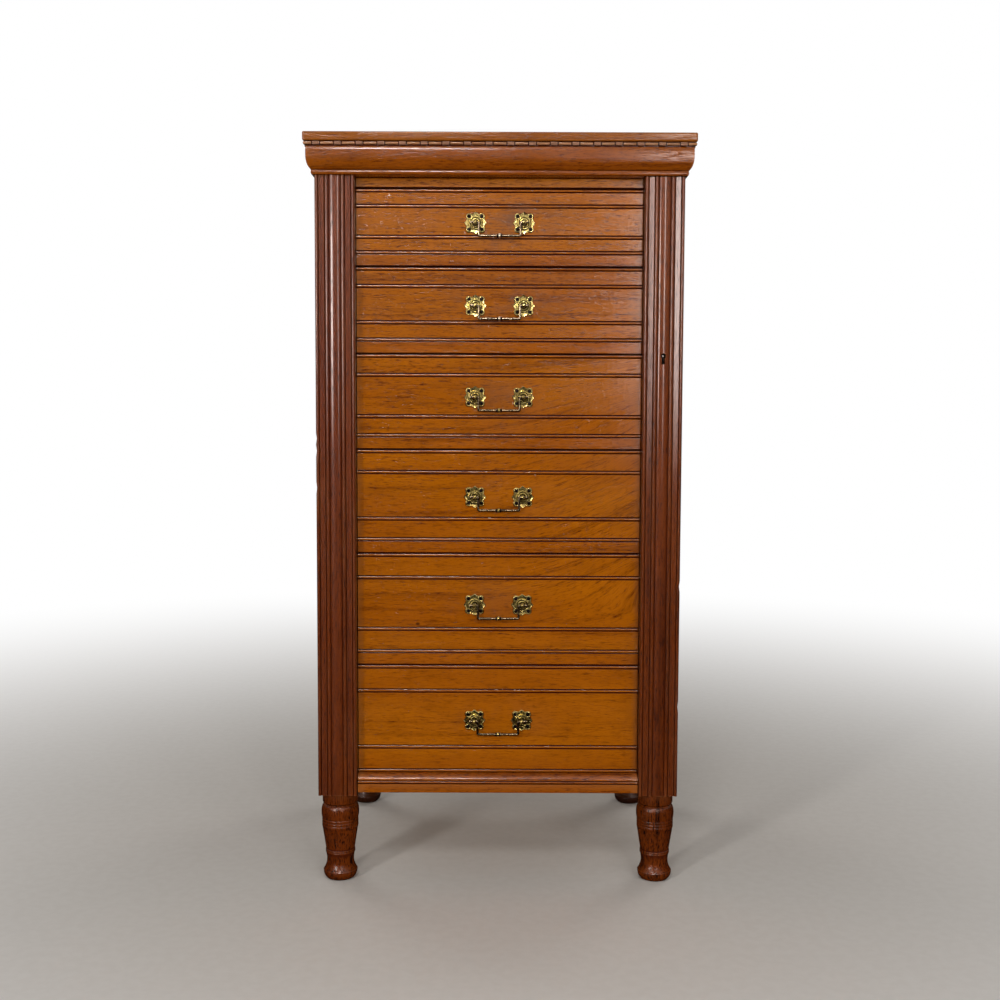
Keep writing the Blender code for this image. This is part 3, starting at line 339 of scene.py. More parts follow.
@contextmanager
def shaping(piece):
    """Edit mode on one piece."""
    take(piece)
    bpy.ops.object.mode_set(mode="EDIT")
    bpy.ops.mesh.select_mode(type="VERT")
    yield
    bpy.ops.object.mode_set(mode="OBJECT")


def pick(piece, kind, test):
    """In edit mode, select just the points, edges or faces that pass a test."""
    bpy.ops.mesh.select_mode(type=kind)
    bpy.ops.mesh.select_all(action="DESELECT")
    shape = bmesh.from_edit_mesh(piece.data)
    for part in {"VERT": shape.verts, "EDGE": shape.edges, "FACE": shape.faces}[kind]:
        if test(part):
            part.select_set(True)
    bmesh.update_edit_mesh(piece.data)


def settle():
    """Put the place, turn and scale of what is selected into its mesh."""
    bpy.ops.object.transform_apply(location=True, rotation=True, scale=True)


def made(name):
    """Name the primitive that was just added, with its place in its mesh."""
    piece = bpy.context.object
    piece.name = name
    settle()
    return piece


def tidy_faces():
    """In edit mode, merge doubles and turn all faces outwards."""
    select_all()
    bpy.ops.mesh.remove_doubles(threshold=WELD)
    bpy.ops.mesh.normals_make_consistent(inside=False)


def rounded(piece, arris, steps=2):
    """Round all edges of a piece."""
    with shaping(piece):
        select_all()
        bpy.ops.mesh.bevel(offset=arris, segments=steps, affect="EDGES", clamp_overlap=True)
    return piece


def block(name, corner, opposite, arris=ARRIS, steps=2):
    """A squared length of wood or metal between two opposite corners, with its arrises rounded."""
    deselect()
    low = Vector([min(pair) for pair in zip(corner, opposite)])
    high = Vector([max(pair) for pair in zip(corner, opposite)])
    bpy.ops.mesh.primitive_cube_add(size=1, location=(low + high) / 2, scale=high - low)
    piece = made(name)
    return rounded(piece, arris, steps) if arris else piece


def drawn(name, points, closed=True):
    """A line drawn from point to point, filled with a face where it is closed."""
    deselect()
    places = [Vector(point) for point in points]
    bpy.ops.mesh.primitive_plane_add(size=OVERLAP, location=places[0])
    piece = made(name)
    if closed:
        places.append(places[0])
    with shaping(piece):
        select_all()
        bpy.ops.mesh.merge(type="CENTER")
        for here, there in zip(places, places[1:]):
            bpy.ops.mesh.extrude_vertices_move(TRANSFORM_OT_translate={"value": there - here})
        if closed:
            select_all()
            bpy.ops.mesh.remove_doubles(threshold=WELD)
            bpy.ops.mesh.edge_face_add()
    return piece


def swept(name, outline, run, cuts=0):
    """An outline pulled along a straight run, its long edges divided by a number of cuts."""
    piece = drawn(name, outline)
    run = Vector(run)

    def along_run(edge):
        return abs((edge.verts[1].co - edge.verts[0].co).dot(run)) > ALMOST * run.length_squared

    with shaping(piece):
        select_all()
        bpy.ops.mesh.extrude_region_move(TRANSFORM_OT_translate={"value": run})
        if cuts:
            pick(piece, "EDGE", along_run)
            bpy.ops.mesh.subdivide(number_cuts=cuts)
        tidy_faces()
    return piece


def turned(name, profile, place=(0, 0, 0), axis=(0, 0, 1), steps=METAL_STEPS):
    """A profile of (radius, distance along the axis), turned on a lathe."""
    place = Vector(place)
    turn = Vector(axis).to_track_quat("Z", "Y")
    points = [place + turn @ Vector((radius, 0, along)) for radius, along in profile]
    piece = drawn(name, points, False)
    with shaping(piece):
        select_all()
        bpy.ops.mesh.spin(steps=steps, angle=math.tau, center=place, axis=axis)
        tidy_faces()
    return piece


def rod(name, radius, place, axis, half_length, steps=METAL_STEPS):
    profile = [(0, -half_length), (radius, -half_length), (radius, half_length), (0, half_length)]
    return turned(name, profile, place, axis, steps)


def wire(name, points, radius):
    """A round wire along a line of points, with closed ends."""
    piece = drawn(name, points, False)
    take(piece)
    bpy.ops.object.convert(target="CURVE")
    piece.data.bevel_depth = radius
    piece.data.bevel_resolution = WIRE_STEPS
    piece.data.use_fill_caps = True
    bpy.ops.object.convert(target="MESH")
    with shaping(piece):
        tidy_faces()
    return piece


def combined(piece, others, operation):
    """Cut other shapes from a piece, or add them to it; the other shapes go."""
    for other in others:
        modifier = piece.modifiers.new(other.name, "BOOLEAN")
        modifier.object = other
        modifier.operation = operation
        modifier.solver = "EXACT"
        take(piece)
        bpy.ops.object.modifier_apply(modifier=modifier.name)
        scrap(other)
    return piece


def carved(piece, cutters):
    return combined(piece, cutters, "DIFFERENCE")


def welded(piece, others):
    return combined(piece, others, "UNION")


def joined(pieces):
    """Several shapes as one piece, each still closed by itself."""
    deselect()
    for piece in pieces:
        piece.select_set(True)
    bpy.context.view_layer.objects.active = pieces[0]
    bpy.ops.object.join()
    return pieces[0]


def copied(piece, move):
    """A copy with its own mesh, moved into place."""
    take(piece)
    bpy.ops.object.duplicate(linked=False)
    twin = bpy.context.object
    twin.location = move
    settle()
    return twin


def sawn(piece, place, keep):
    """Saw a piece through at a place, and keep the side that a direction points to."""
    with shaping(piece):
        select_all()
        bpy.ops.mesh.bisect(plane_co=place, plane_no=keep, use_fill=True, clear_inner=True)
        tidy_faces()


def ringed(piece, heights):
    """Run a line round an upright piece at each height, so that the wear of its ends stays narrow."""
    with shaping(piece):
        for height in heights:
            select_all()
            bpy.ops.mesh.bisect(plane_co=(0, 0, height), plane_no=(0, 0, 1))


def nicked(piece, place, move, reach):
    """Wear a hollow into an edge by moving the points near a place."""
    place = Vector(place)
    with shaping(piece):
        pick(piece, "VERT", lambda vert: (vert.co - place).length < reach / 2)
        bpy.ops.transform.translate(
            value=move,
            use_proportional_edit=True,
            proportional_edit_falloff="SMOOTH",
            proportional_size=reach,
        )


def note(piece, name, values):
    """Keep a value for each point of a piece, for its finish to read."""
    piece.data.attributes.new(name, "FLOAT", "POINT").data.foreach_set("value", values)


def note_relief(piece):
    """Keep how far each point stands out from its neighbours, for worn crests and dark hollows."""
    shape = bmesh.new()
    shape.from_mesh(piece.data)
    shape.normal_update()
    relief = []
    for vert in shape.verts:
        ways = [(vert.co - edge.other_vert(vert).co).normalized() for edge in vert.link_edges]
        relief.append(sum(vert.normal.dot(way) for way in ways) / max(len(ways), 1))
    shape.free()
    note(piece, "relief", relief)


def note_depth(piece, depth_of):
    """Keep how deep each point lies in a moulding, from 0 on its face to 1 in its quirks; the finish darkens
    it as painted shade, partly old dirt.
    """
    note(piece, "depth", [min(max(depth_of(vert.co), 0.0), 1.0) for vert in piece.data.vertices])


def note_handling(piece, place, strength):
    """Keep how near each point of a drawer front is to its handle, where hands have darkened it."""
    place = Vector(place)
    values = []
    for vert in piece.data.vertices:
        away = vert.co - place
        spread = (away.x / HANDLING_WIDTH) ** 2 + (away.z / HANDLING_HEIGHT) ** 2
        values.append(strength * math.exp(-spread))
    note(piece, "handling", values)


def firm_flats(piece):
    """Give each large flat face a narrow border, so that it stays flat up to its arrises."""
    with shaping(piece):
        pick(piece, "FACE", lambda face: face.calc_area() > FLAT_AREA)
        bpy.ops.mesh.inset(thickness=FLAT_BORDER, use_individual=True)


def fit(piece, name, finish, nodes, body="case"):
    """Finish a piece and set it on its body, in place of the frame's own nodes."""
    piece.name = name
    piece.data.name = name
    firm_flats(piece)
    take(piece)
    bpy.ops.object.shade_smooth_by_angle(angle=SMOOTH_ANGLE)
    piece.data.materials.clear()
    piece.data.materials.append(finish)
    note_relief(piece)
    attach(piece, body)
    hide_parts(*nodes)


# Outlines

def polar(radius, degrees):
    angle = math.radians(degrees)
    return radius * math.cos(angle), radius * math.sin(angle)


def arc(centre, radius, start, end, steps):
    """Points on a circle, angles in degrees."""
    spokes = [polar(radius, start + (end - start) * step / steps) for step in range(steps + 1)]
    return [(centre[0] + x, centre[1] + y) for x, y in spokes]


def bead(start, width, depth, steps=BEAD_STEPS):
    """A half-round bead along a line: (distance along, depth below the crest)."""
    turns = [math.pi * step / steps for step in range(steps + 1)]
    return [(start + width * (1 - math.cos(a)) / 2, depth * (1 - math.sin(a))) for a in turns]


def flat(start, end, depth, step=None):
    """A flat along a line, with a point near each end, so that worn edges stay narrow."""
    inner_start, inner_end = start + FLAT_MARGIN, end - FLAT_MARGIN
    count = max(1, round((inner_end - inner_start) / step)) if step else 1
    inner = [inner_start + (inner_end - inner_start) * index / count for index in range(count + 1)]
    return [(place, depth) for place in [start, *inner, end]]


def quarter(start, end, steps, level=False):
    """A quarter of an oval between two points, after the first; it sets off upright, or level."""
    line = []
    for angle in [math.pi / 2 * step / steps for step in range(1, steps + 1)]:
        shares = (1 - math.cos(angle), math.sin(angle))
        share_x, share_y = reversed(shares) if level else shares
        line.append((start[0] + (end[0] - start[0]) * share_x, start[1] + (end[1] - start[1]) * share_y))
    return line


def curve(start, end, power):
    """A line between two points that bends away from the upright, or a straight one with a power of 1."""
    shares = [step / CURVE_STEPS for step in range(CURVE_STEPS + 1)]
    (x, y), (end_x, end_y) = start, end
    return [(x + (end_x - x) * share ** power, y + (end_y - y) * share) for share in shares]


def reeded_front():
    """The pilaster's front across its width: (distance from the edge, depth)."""
    flat_width = (PILASTER_WIDTH - CENTRE_REED_WIDTH) / 2 - EDGE_BEAD_WIDTH - INNER_BEAD_WIDTH
    inner_start = EDGE_BEAD_WIDTH + flat_width
    half = bead(0.0, EDGE_BEAD_WIDTH, REED_DEPTH)
    half += flat(EDGE_BEAD_WIDTH + FLAT_QUIRK, inner_start - FLAT_QUIRK, FLAT_DEPTH)
    half += bead(inner_start, INNER_BEAD_WIDTH, REED_DEPTH)
    reed = bead(inner_start + INNER_BEAD_WIDTH, CENTRE_REED_WIDTH, REED_DEPTH, REED_STEPS)
    mirrored = [(PILASTER_WIDTH - along, depth) for along, depth in reversed(half)]
    return half + reed[1:-1] + mirrored


def drawer_front_line(height, strip):
    """A drawer front's face from its lower to its upper edge: (height, depth)."""
    second = FRONT_BEAD_WIDTH + strip
    panel = second + FRONT_BEAD_WIDTH + FRONT_BEAD_QUIRK
    lower = bead(0.0, FRONT_BEAD_WIDTH, FRONT_BEAD_DEPTH)
    lower += flat(FRONT_BEAD_WIDTH + FRONT_BEAD_QUIRK, second - FRONT_BEAD_QUIRK, 0.0)
    lower += bead(second, FRONT_BEAD_WIDTH, FRONT_BEAD_DEPTH)
    upper = [(height - place, depth) for place, depth in reversed(lower)]
    return lower + flat(panel, height - panel, 0.0, step=PANEL_STEP) + upper


def base_rail_outline():
    """The base rail from its lower edge up: (depth, height)."""
    height = BASE_HIGH.z - BASE_LOW.z
    depth = BASE_HIGH.y - BASE_LOW.y
    quirk = BASE_LIFT + BASE_FASCIA_HEIGHT
    bead_start = quirk + BASE_QUIRK
    bead_end = bead_start + BASE_BEAD_HEIGHT
    nose = bead_end + BASE_QUIRK
    corner = arc((0.0, 0.0), BASE_ARRIS, 180, 270, BASE_ARRIS_STEPS)
    line = [(BASE_ARRIS + place, BASE_LIFT + BASE_ARRIS + rise) for rise, place in corner]
    line += [(0.0, quirk), (BASE_QUIRK_DEPTH, quirk + BASE_QUIRK_LEAN)]
    line.append((BASE_QUIRK_DEPTH, bead_start - BASE_QUIRK_SIDE))
    line += [(sink, rise) for rise, sink in bead(bead_start, BASE_BEAD_HEIGHT, BASE_BEAD_DEPTH)]
    line.append((BASE_QUIRK_DEPTH, bead_end + BASE_QUIRK_SIDE))
    line += [(BASE_QUIRK_DEPTH, nose - BASE_QUIRK_LEAN), (BASE_NOSE_LIP, nose)]
    line += quarter(line[-1], (BASE_NOSE_LIP + BASE_NOSE_DEPTH, height), REED_STEPS)
    return line + [(depth, height), (depth, BASE_LIFT)]


def cornice_outline():
    """The cornice from its lower edge up: (projection from the case, height)."""
    lower = bead(0.0, CORNICE_BEAD_HEIGHT, CORNICE_BEAD_PROJECTION - CORNICE_QUIRK_PROJECTION)
    line = [(CORNICE_BEAD_PROJECTION - depth, height) for height, depth in lower]
    quirk = (CORNICE_QUIRK_PROJECTION, CORNICE_BEAD_HEIGHT)
    line += quarter(quirk, (OVOLO_PROJECTION, CORNICE_BEAD_HEIGHT + OVOLO_HEIGHT), REED_STEPS, level=True)
    band_top = OVOLO_PROJECTION - BAND_LEAN
    line += curve((OVOLO_PROJECTION, STRIP_FOOT - BAND_LEAN_HEIGHT), (band_top, STRIP_FOOT), 2)
    ground = band_top - STRIP_GROOVE
    line.append((ground, STRIP_FOOT + STRIP_GROOVE / 4))
    top = CORNICE_HIGH.z - CORNICE_LOW.z
    return line + [(ground, top), (JOINT_GAP, top), (JOINT_GAP, 0.0)]


def leg_profile(height):
    """The turned leg from the top down: (radius, height)."""
    neck_foot = height - LEG_NECK_LENGTH
    bulb = neck_foot - LEG_BULB_RISE
    place = bulb - LEG_BULB_FALL
    ankle = LEG_FOOT_HEIGHT + LEG_FLARE_LENGTH
    half_collar = LEG_COLLAR_HEIGHT / 2
    collar = ankle + LEG_ANKLE_LENGTH + LEG_COLLAR_HEIGHT
    line = [(0.0, height), (LEG_NECK_RADIUS - JOINT_GAP, height), (LEG_NECK_RADIUS, height - JOINT_GAP)]
    line.append((LEG_NECK_RADIUS, height - LEG_NECK_STRAIGHT))
    line += quarter(line[-1], (LEG_NECK_FOOT_RADIUS, neck_foot), CURVE_STEPS)
    rise = quarter(line[-1], (LEG_BULB_RADIUS, bulb), LEG_RISE_STEPS, level=True)
    radius, scribe = rise[LEG_SCRIBE_STEP - 1]
    rise[LEG_SCRIBE_STEP - 1] = (radius - LEG_SCRIBE_DEPTH, scribe)
    line += rise
    line += quarter(line[-1], (LEG_BULB_FOOT_RADIUS, place), LEG_FALL_STEPS)
    for _ in range(LEG_RING_COUNT):
        line += leg_ring(LEG_BULB_FOOT_RADIUS, place, LEG_RING_HEIGHT, LEG_RING_SWELL)
        place -= LEG_RING_HEIGHT
    line += curve((LEG_BULB_FOOT_RADIUS, place), (LEG_TAPER_RADIUS, collar), 1)[1:]
    for start in (collar, collar - half_collar):
        line += leg_ring(LEG_TAPER_RADIUS, start, half_collar, LEG_COLLAR_SWELL)
    line.append((LEG_ANKLE_RADIUS, ankle + LEG_ANKLE_LENGTH / 3))
    line += curve((LEG_ANKLE_RADIUS, ankle), (LEG_FLARE_RADIUS, LEG_FOOT_HEIGHT), LEG_FLARE_POWER)
    line.append((LEG_FLARE_RADIUS - LEG_SCRIBE_DEPTH, LEG_FOOT_HEIGHT - LEG_SCRIBE_DEPTH))
    line += quarter((LEG_FLARE_RADIUS, LEG_FOOT_HEIGHT), (LEG_FOOT_RADIUS, 0.0), CURVE_STEPS)
    return line + [(0.0, 0.0)]


def leg_ring(radius, start, height, swell):
    """A ring round the leg, from its upper edge down."""
    crest = bead(0.0, height, swell, CAP_STEPS)
    return [(radius + swell - depth, start - along) for along, depth in crest[1:]]


def rosette_outline():
    """Four pointed leaves, with a round ear between each two."""
    shoulder = (ROSETTE_LEAF_REACH + 2 * ROSETTE_VALLEY_REACH) / 3
    line = []
    for leaf in (0, 90, 180, 270):
        ear = leaf + 45
        centre = polar(ROSETTE_EAR_OFFSET * math.sqrt(2), ear)
        line.append(polar(ROSETTE_LEAF_REACH, leaf))
        line.append(polar(shoulder, leaf + ROSETTE_VALLEY_TURN / 2))
        line.append(polar(ROSETTE_VALLEY_REACH, leaf + ROSETTE_VALLEY_TURN))
        line += arc(centre, ROSETTE_EAR_RADIUS, ear - ROSETTE_EAR_SWEEP, ear + ROSETTE_EAR_SWEEP, CURVE_STEPS)
        line.append(polar(ROSETTE_VALLEY_REACH, leaf + 90 - ROSETTE_VALLEY_TURN))
        line.append(polar(shoulder, leaf + 90 - ROSETTE_VALLEY_TURN / 2))
    return line


# Finishes

# Kinds of socket, and the ways the grain runs
FLOAT, COLOUR, VECTOR = "NodeSocketFloat", "NodeSocketColor", "NodeSocketVector"
NO_TURN = (0.0, 0.0, 0.0)
UPRIGHT = (0.0, math.pi / 2, 0.0)
BACKWARDS = (0.0, 0.0, -math.pi / 2)

# Wax, the share of it that open grain takes away, the depth of a metal's grit, and the colours of spots, of
# the painted shade with old dirt in hollows and quirks, and of smoke stains
WAX_ROUGHNESS = 0.085
OPEN_GRAIN = 0.9
GRIT_DEPTH = 0.00006
SPOT_COLOUR = (0.030, 0.006, 0.002, 1.0)
SHADE_AND_DIRT_COLOUR = (0.052, 0.0045, 0.0004, 1.0)
SMOKE_COLOUR = (0.125, 0.058, 0.036, 1.0)

# Marks of oak: how close they come along the grain and across it, the detail and the roughness of their
# noise, and the values of that noise at which a mark begins and is full
OAK_MARKS = {
    "rings": (1.6, 95.0, 2.0, 0.6, 0.50, 0.74),
    "streaks": (46.0, 470.0, 3.0, 0.6, 0.52, 0.68),
    "dashes": (110.0, 600.0, 2.0, 0.5, 0.54, 0.66),
    "pores": (95.0, 800.0, 1.0, 0.5, 0.60, 0.72),
    "boards": (1.1, 10.0, 2.0, 0.5, 0.35, 0.68),
    "clouds": (11.0, 34.0, 3.0, 0.6, 0.42, 0.80),
}

# How the grain wanders, its fibre, and the small dark spots
WANDER_SCALE = (2.4, 8.0, 8.0)
RIPPLE_SCALE = (26.0, 45.0, 45.0)
FIBRE_SCALE = (60.0, 620.0, 620.0)
CELL_SCALE = (16.0, 22.0, 22.0)
SPOT_EDGE = (0.03, 0.075)
SPOT_CHANCE = (0.80, 0.86)

# How much each mark adds to the figure, the ground or the open grain
RING_SHARE = 0.45
STREAK_SHARE = 0.55
DASH_SHARE = 0.40
PORE_SHARE = 0.55
FIBRE_SHARE = 0.90
CLOUD_SHARE = 0.30
RIPPLE_SHARE = 0.1
FIBRE_HEIGHT = 0.6
STREAK_HEIGHT = 0.7

# Old polish: its patches and haze, and where crests, hollows, quirks, the patches of painted shade with dirt,
# and smoke begin and are full
PATCH_SCALE = (9.0, 60.0, 60.0)
HAZE_SCALE = (14.0, 18.0, 18.0)
PATCHY_WEAR = 0.30
CLOUDY = (3.0, 0.6)
CREST = (0.03, 0.34)
HOLLOW = (-0.26, -0.02)
QUIRK = (0.02, 0.22)
SHADE_AND_DIRT_PATCHES = (0.15, 0.55, 0.75, 1.0)
SMOKE_PATCHES = (0.44, 0.66)
HAZE_ROUGHNESS = 0.16

# Tarnish: its patches and grit, and where dull patches, rubbed crests and hollows begin and are full
TARNISH_SCALE = (150.0, 150.0, 150.0)
GRIT_SCALE = (900.0, 900.0, 900.0)
DULL_PATCHES = (0.36, 0.62)
RUBBED_CREST = (0.04, 0.35)
METAL_HOLLOW = (-0.35, -0.03)
DULL_ROUGHNESS = 0.25
GRIT_ROUGHNESS = 0.15

# Where the grain sweeps up towards the right, and the height at which its figure has its plain strength
SWEEP_START = -0.06
SWEEP_RISE = (0.40, 0.52)
SWEEP_FALL = (0.74, 0.92)
FIGURE_MIDDLE = 0.65

# What an oak has unless it is told otherwise, and which of it goes into the figure
FIGURE_VALUES = ("Wander", "Sweep", "Streaks", "Rise", "Flecks", "Spots")
PLAIN_OAK = {
    "wander": 0.02,
    "sweep": 0.0,
    "streaks": 0.6,
    "rise": 0.0,
    "flecks": 0.5,
    "spots": 0.0,
    "wear": 0.4,
    "grime": 0.8,
    "smoke": 0.0,
    "gloss": 0.22,
    "specular": 0.5,
    "wax": 0.0,
    "grain_depth": 0.00008,
}


class Board:
    """Short ways to place and link nodes in one node tree."""

    def __init__(self, tree):
        self.tree = tree
        self.nodes = tree.nodes
        self.nodes.clear()

    def feed(self, socket, value):
        if isinstance(value, bpy.types.NodeSocket):
            self.tree.links.new(value, socket)
        else:
            socket.default_value = value

    def add(self, kind, feeds=None, **settings):
        node = self.nodes.new(kind)
        for name, value in settings.items():
            setattr(node, name, value)
        for socket, value in (feeds or {}).items():
            self.feed(node.inputs[socket], value)
        return node

    def math(self, operation, *values, clamp=False):
        feeds = dict(enumerate(values))
        return self.add("ShaderNodeMath", feeds, operation=operation, use_clamp=clamp).outputs[0]

    def times(self, *values):
        return self.math("MULTIPLY", *values)

    def plus(self, *values, **options):
        return self.math("ADD", *values, **options)

    def minus(self, *values):
        return self.math("SUBTRACT", *values)

    def times_plus(self, *values, **options):
        """The first value times the second, plus the third."""
        return self.math("MULTIPLY_ADD", *values, **options)

    def vector(self, operation, *values):
        return self.add("ShaderNodeVectorMath", dict(enumerate(values)), operation=operation).outputs[0]

    def noise(self, place, scale, detail=2.0, roughness=0.5):
        """Noise of 0 to 1, stretched by a scale for each direction."""
        stretched = self.vector("MULTIPLY", place, scale)
        feeds = {"Vector": stretched, "Scale": 1.0, "Detail": detail, "Roughness": roughness}
        return self.add("ShaderNodeTexNoise", feeds).outputs[0]

    def swing(self, noise):
        """Noise about nought instead of a half."""
        return self.minus(noise, 0.5)

    def mark(self, place, name, full=1.0):
        """One of the marks of oak, from 0 where it is missing to a full value."""
        along, across, detail, roughness, low, high = OAK_MARKS[name]
        noise = self.noise(place, (along, across, across), detail, roughness)
        return self.step(noise, low, high, 0.0, full)

    def step(self, value, low, high, start=0.0, end=1.0):
        """A smooth step from start to end while a value goes from low to high."""
        feeds = {0: value, 1: low, 2: high, 3: start, 4: end}
        return self.add("ShaderNodeMapRange", feeds, interpolation_type="SMOOTHSTEP").outputs[0]

    def mix(self, share, first, second):
        feeds = {0: share, 6: first, 7: second}
        return self.add("ShaderNodeMix", feeds, data_type="RGBA").outputs[2]

    def attribute(self, name):
        return self.add("ShaderNodeAttribute", attribute_name=name).outputs["Fac"]

    def bump(self, height, depth):
        feeds = {"Height": height, "Strength": 1.0, "Distance": depth}
        return self.add("ShaderNodeBump", feeds).outputs[0]

    def object_place(self, turn=NO_TURN):
        """Object coordinates, turned so that the grain runs along the first of them."""
        place = self.add("ShaderNodeTexCoord").outputs["Object"]
        return self.add("ShaderNodeMapping", {"Vector": place, "Rotation": turn}).outputs[0]


def new_group(name, takes, gives):
    """A shader node group with named sockets; its board, what comes in, and the node for what goes out."""
    tree = bpy.data.node_groups.new(name, "ShaderNodeTree")
    for way, kinds in (("INPUT", takes), ("OUTPUT", gives)):
        for kind, sockets in kinds.items():
            for socket in sockets:
                tree.interface.new_socket(socket, in_out=way, socket_type=kind)
    board = Board(tree)
    return board, board.add("NodeGroupInput").outputs, board.add("NodeGroupOutput").inputs


def make_oak_figure():
    """Oak in a space whose first direction runs along the grain."""
    takes = {VECTOR: ["Place"], COLOUR: ["Pale", "Dark", "Warm"], FLOAT: FIGURE_VALUES}
    board, into, out = new_group("oak figure", takes, {COLOUR: ["Color"], FLOAT: ["Height", "Figure"]})
    place = into["Place"]
    split = board.add("ShaderNodeSeparateXYZ", {0: place}).outputs
    wander = board.swing(board.noise(place, WANDER_SCALE, 1.0))
    ripple = board.swing(board.noise(place, RIPPLE_SCALE, 1.0))
    shift = board.times(wander, into["Wander"])
    shift = board.times_plus(ripple, board.times(into["Wander"], RIPPLE_SHARE), shift)
    run_out = board.math("MAXIMUM", board.minus(split[0], SWEEP_START), 0.0)
    rising = board.step(split[2], *SWEEP_RISE)
    falling = board.step(split[2], *SWEEP_FALL, 1.0, 0.0)
    sweep = board.times(board.times(rising, falling), into["Sweep"])
    shift = board.minus(shift, board.times(board.math("POWER", run_out, 2.0), sweep))
    across = board.plus(split[2], shift)
    grain = board.add("ShaderNodeCombineXYZ", {0: split[0], 1: split[1], 2: across}).outputs[0]

    streaks = board.mark(grain, "streaks")
    pores = board.mark(grain, "pores")
    fibre = board.noise(grain, FIBRE_SCALE)
    figure = board.times_plus(board.mark(grain, "rings"), RING_SHARE, board.times(streaks, STREAK_SHARE))
    figure = board.times_plus(board.mark(grain, "dashes"), DASH_SHARE, figure)
    strength = board.times_plus(board.minus(split[2], FIGURE_MIDDLE), into["Rise"], into["Streaks"])
    figure = board.times(figure, strength)
    figure = board.times_plus(board.times(pores, into["Flecks"]), PORE_SHARE, figure)
    figure = board.plus(figure, board.times(board.swing(fibre), FIBRE_SHARE), clamp=True)

    ground = board.mix(board.mark(place, "boards"), into["Pale"], into["Warm"])
    ground = board.mix(board.mark(grain, "clouds", CLOUD_SHARE), ground, into["Dark"])
    colour = board.mix(figure, ground, into["Dark"])

    feeds = {"Vector": board.vector("MULTIPLY", place, CELL_SCALE), "Scale": 1.0}
    cells = board.add("ShaderNodeTexVoronoi", feeds).outputs
    chance = board.add("ShaderNodeSeparateColor", {0: cells["Color"]}).outputs[0]
    spot = board.step(cells["Distance"], *SPOT_EDGE, 1.0, 0.0)
    spot = board.times(spot, board.step(chance, *SPOT_CHANCE))
    colour = board.mix(board.times(spot, into["Spots"]), colour, SPOT_COLOUR)

    height = board.times(board.plus(pores, board.times(fibre, FIBRE_HEIGHT)), -1.0)
    height = board.times_plus(streaks, -STREAK_HEIGHT, height)
    board.feed(out["Color"], colour)
    board.feed(out["Height"], height)
    board.feed(out["Figure"], figure)
    return board.tree


def make_old_polish():
    """Wear, painted shade with old dirt in hollows and quirks, and an uneven old polish, from how a piece
    stands out or lies back.
    """
    values = ["Relief", "Depth", "Wear", "Shade and dirt", "Smoke", "Gloss"]
    takes = {VECTOR: ["Place"], COLOUR: ["Color", "Worn"], FLOAT: values}
    board, into, out = new_group("old polish", takes, {COLOUR: ["Color"], FLOAT: ["Roughness"]})
    patches = board.noise(into["Place"], PATCH_SCALE, *CLOUDY)
    haze = board.noise(into["Place"], HAZE_SCALE, *CLOUDY)
    uneven = board.times_plus(board.swing(patches), PATCHY_WEAR, into["Relief"])
    crest = board.step(uneven, *CREST)
    colour = board.mix(board.times(crest, into["Wear"]), into["Color"], into["Worn"])
    # Hollows and quirks darken towards one colour: painted shade, partly old dirt
    hollow = board.step(into["Relief"], *HOLLOW, 1.0, 0.0)
    hollow = board.math("MAXIMUM", hollow, board.step(into["Depth"], *QUIRK))
    hollow = board.times(hollow, board.step(patches, *SHADE_AND_DIRT_PATCHES))
    colour = board.mix(board.times(hollow, into["Shade and dirt"]), colour, SHADE_AND_DIRT_COLOUR)
    smoke = board.times(board.step(haze, *SMOKE_PATCHES), into["Smoke"])
    colour = board.mix(smoke, colour, SMOKE_COLOUR)
    roughness = board.times_plus(board.swing(haze), HAZE_ROUGHNESS, into["Gloss"])
    board.feed(out["Color"], colour)
    board.feed(out["Roughness"], roughness)
    return board.tree


def make_tarnish():
    """Old metal: bright on the crests, brown in the hollows, with dull patches."""
    takes = {VECTOR: ["Place"], COLOUR: ["Bright", "Dull", "Deep"], FLOAT: ["Relief", "Patina", "Gloss"]}
    board, into, out = new_group("tarnish", takes, {COLOUR: ["Color"], FLOAT: ["Roughness", "Height"]})
    patches = board.noise(into["Place"], TARNISH_SCALE, *CLOUDY)
    grit = board.noise(into["Place"], GRIT_SCALE)
    dull = board.times(board.step(patches, *DULL_PATCHES), into["Patina"])
    dull = board.times(dull, board.minus(1.0, board.step(into["Relief"], *RUBBED_CREST)))
    colour = board.mix(dull, into["Bright"], into["Dull"])
    colour = board.mix(board.step(into["Relief"], *METAL_HOLLOW, 1.0, 0.0), colour, into["Deep"])
    roughness = board.times_plus(dull, DULL_ROUGHNESS, into["Gloss"])
    roughness = board.times_plus(board.swing(grit), GRIT_ROUGHNESS, roughness)
    board.feed(out["Color"], colour)
    board.feed(out["Roughness"], roughness)
    board.feed(out["Height"], grit)
    return board.tree


def new_material(name):
    material = bpy.data.materials.new(name)
    material.use_nodes = True
    return material, Board(material.node_tree)


def close_material(board, colour, roughness, bump, metallic=0.0, specular=0.5, wax=0.0):
    """The shader itself, with its plain values on its own sockets."""
    feeds = {
        "Base Color": colour,
        "Roughness": roughness,
        "Metallic": metallic,
        "Specular IOR Level": specular,
        "Coat Weight": wax,
        "Coat Roughness": WAX_ROUGHNESS,
        "Normal": bump,
    }
    shader = board.add("ShaderNodeBsdfPrincipled", feeds)
    board.add("ShaderNodeOutputMaterial", {"Surface": shader.outputs[0]})


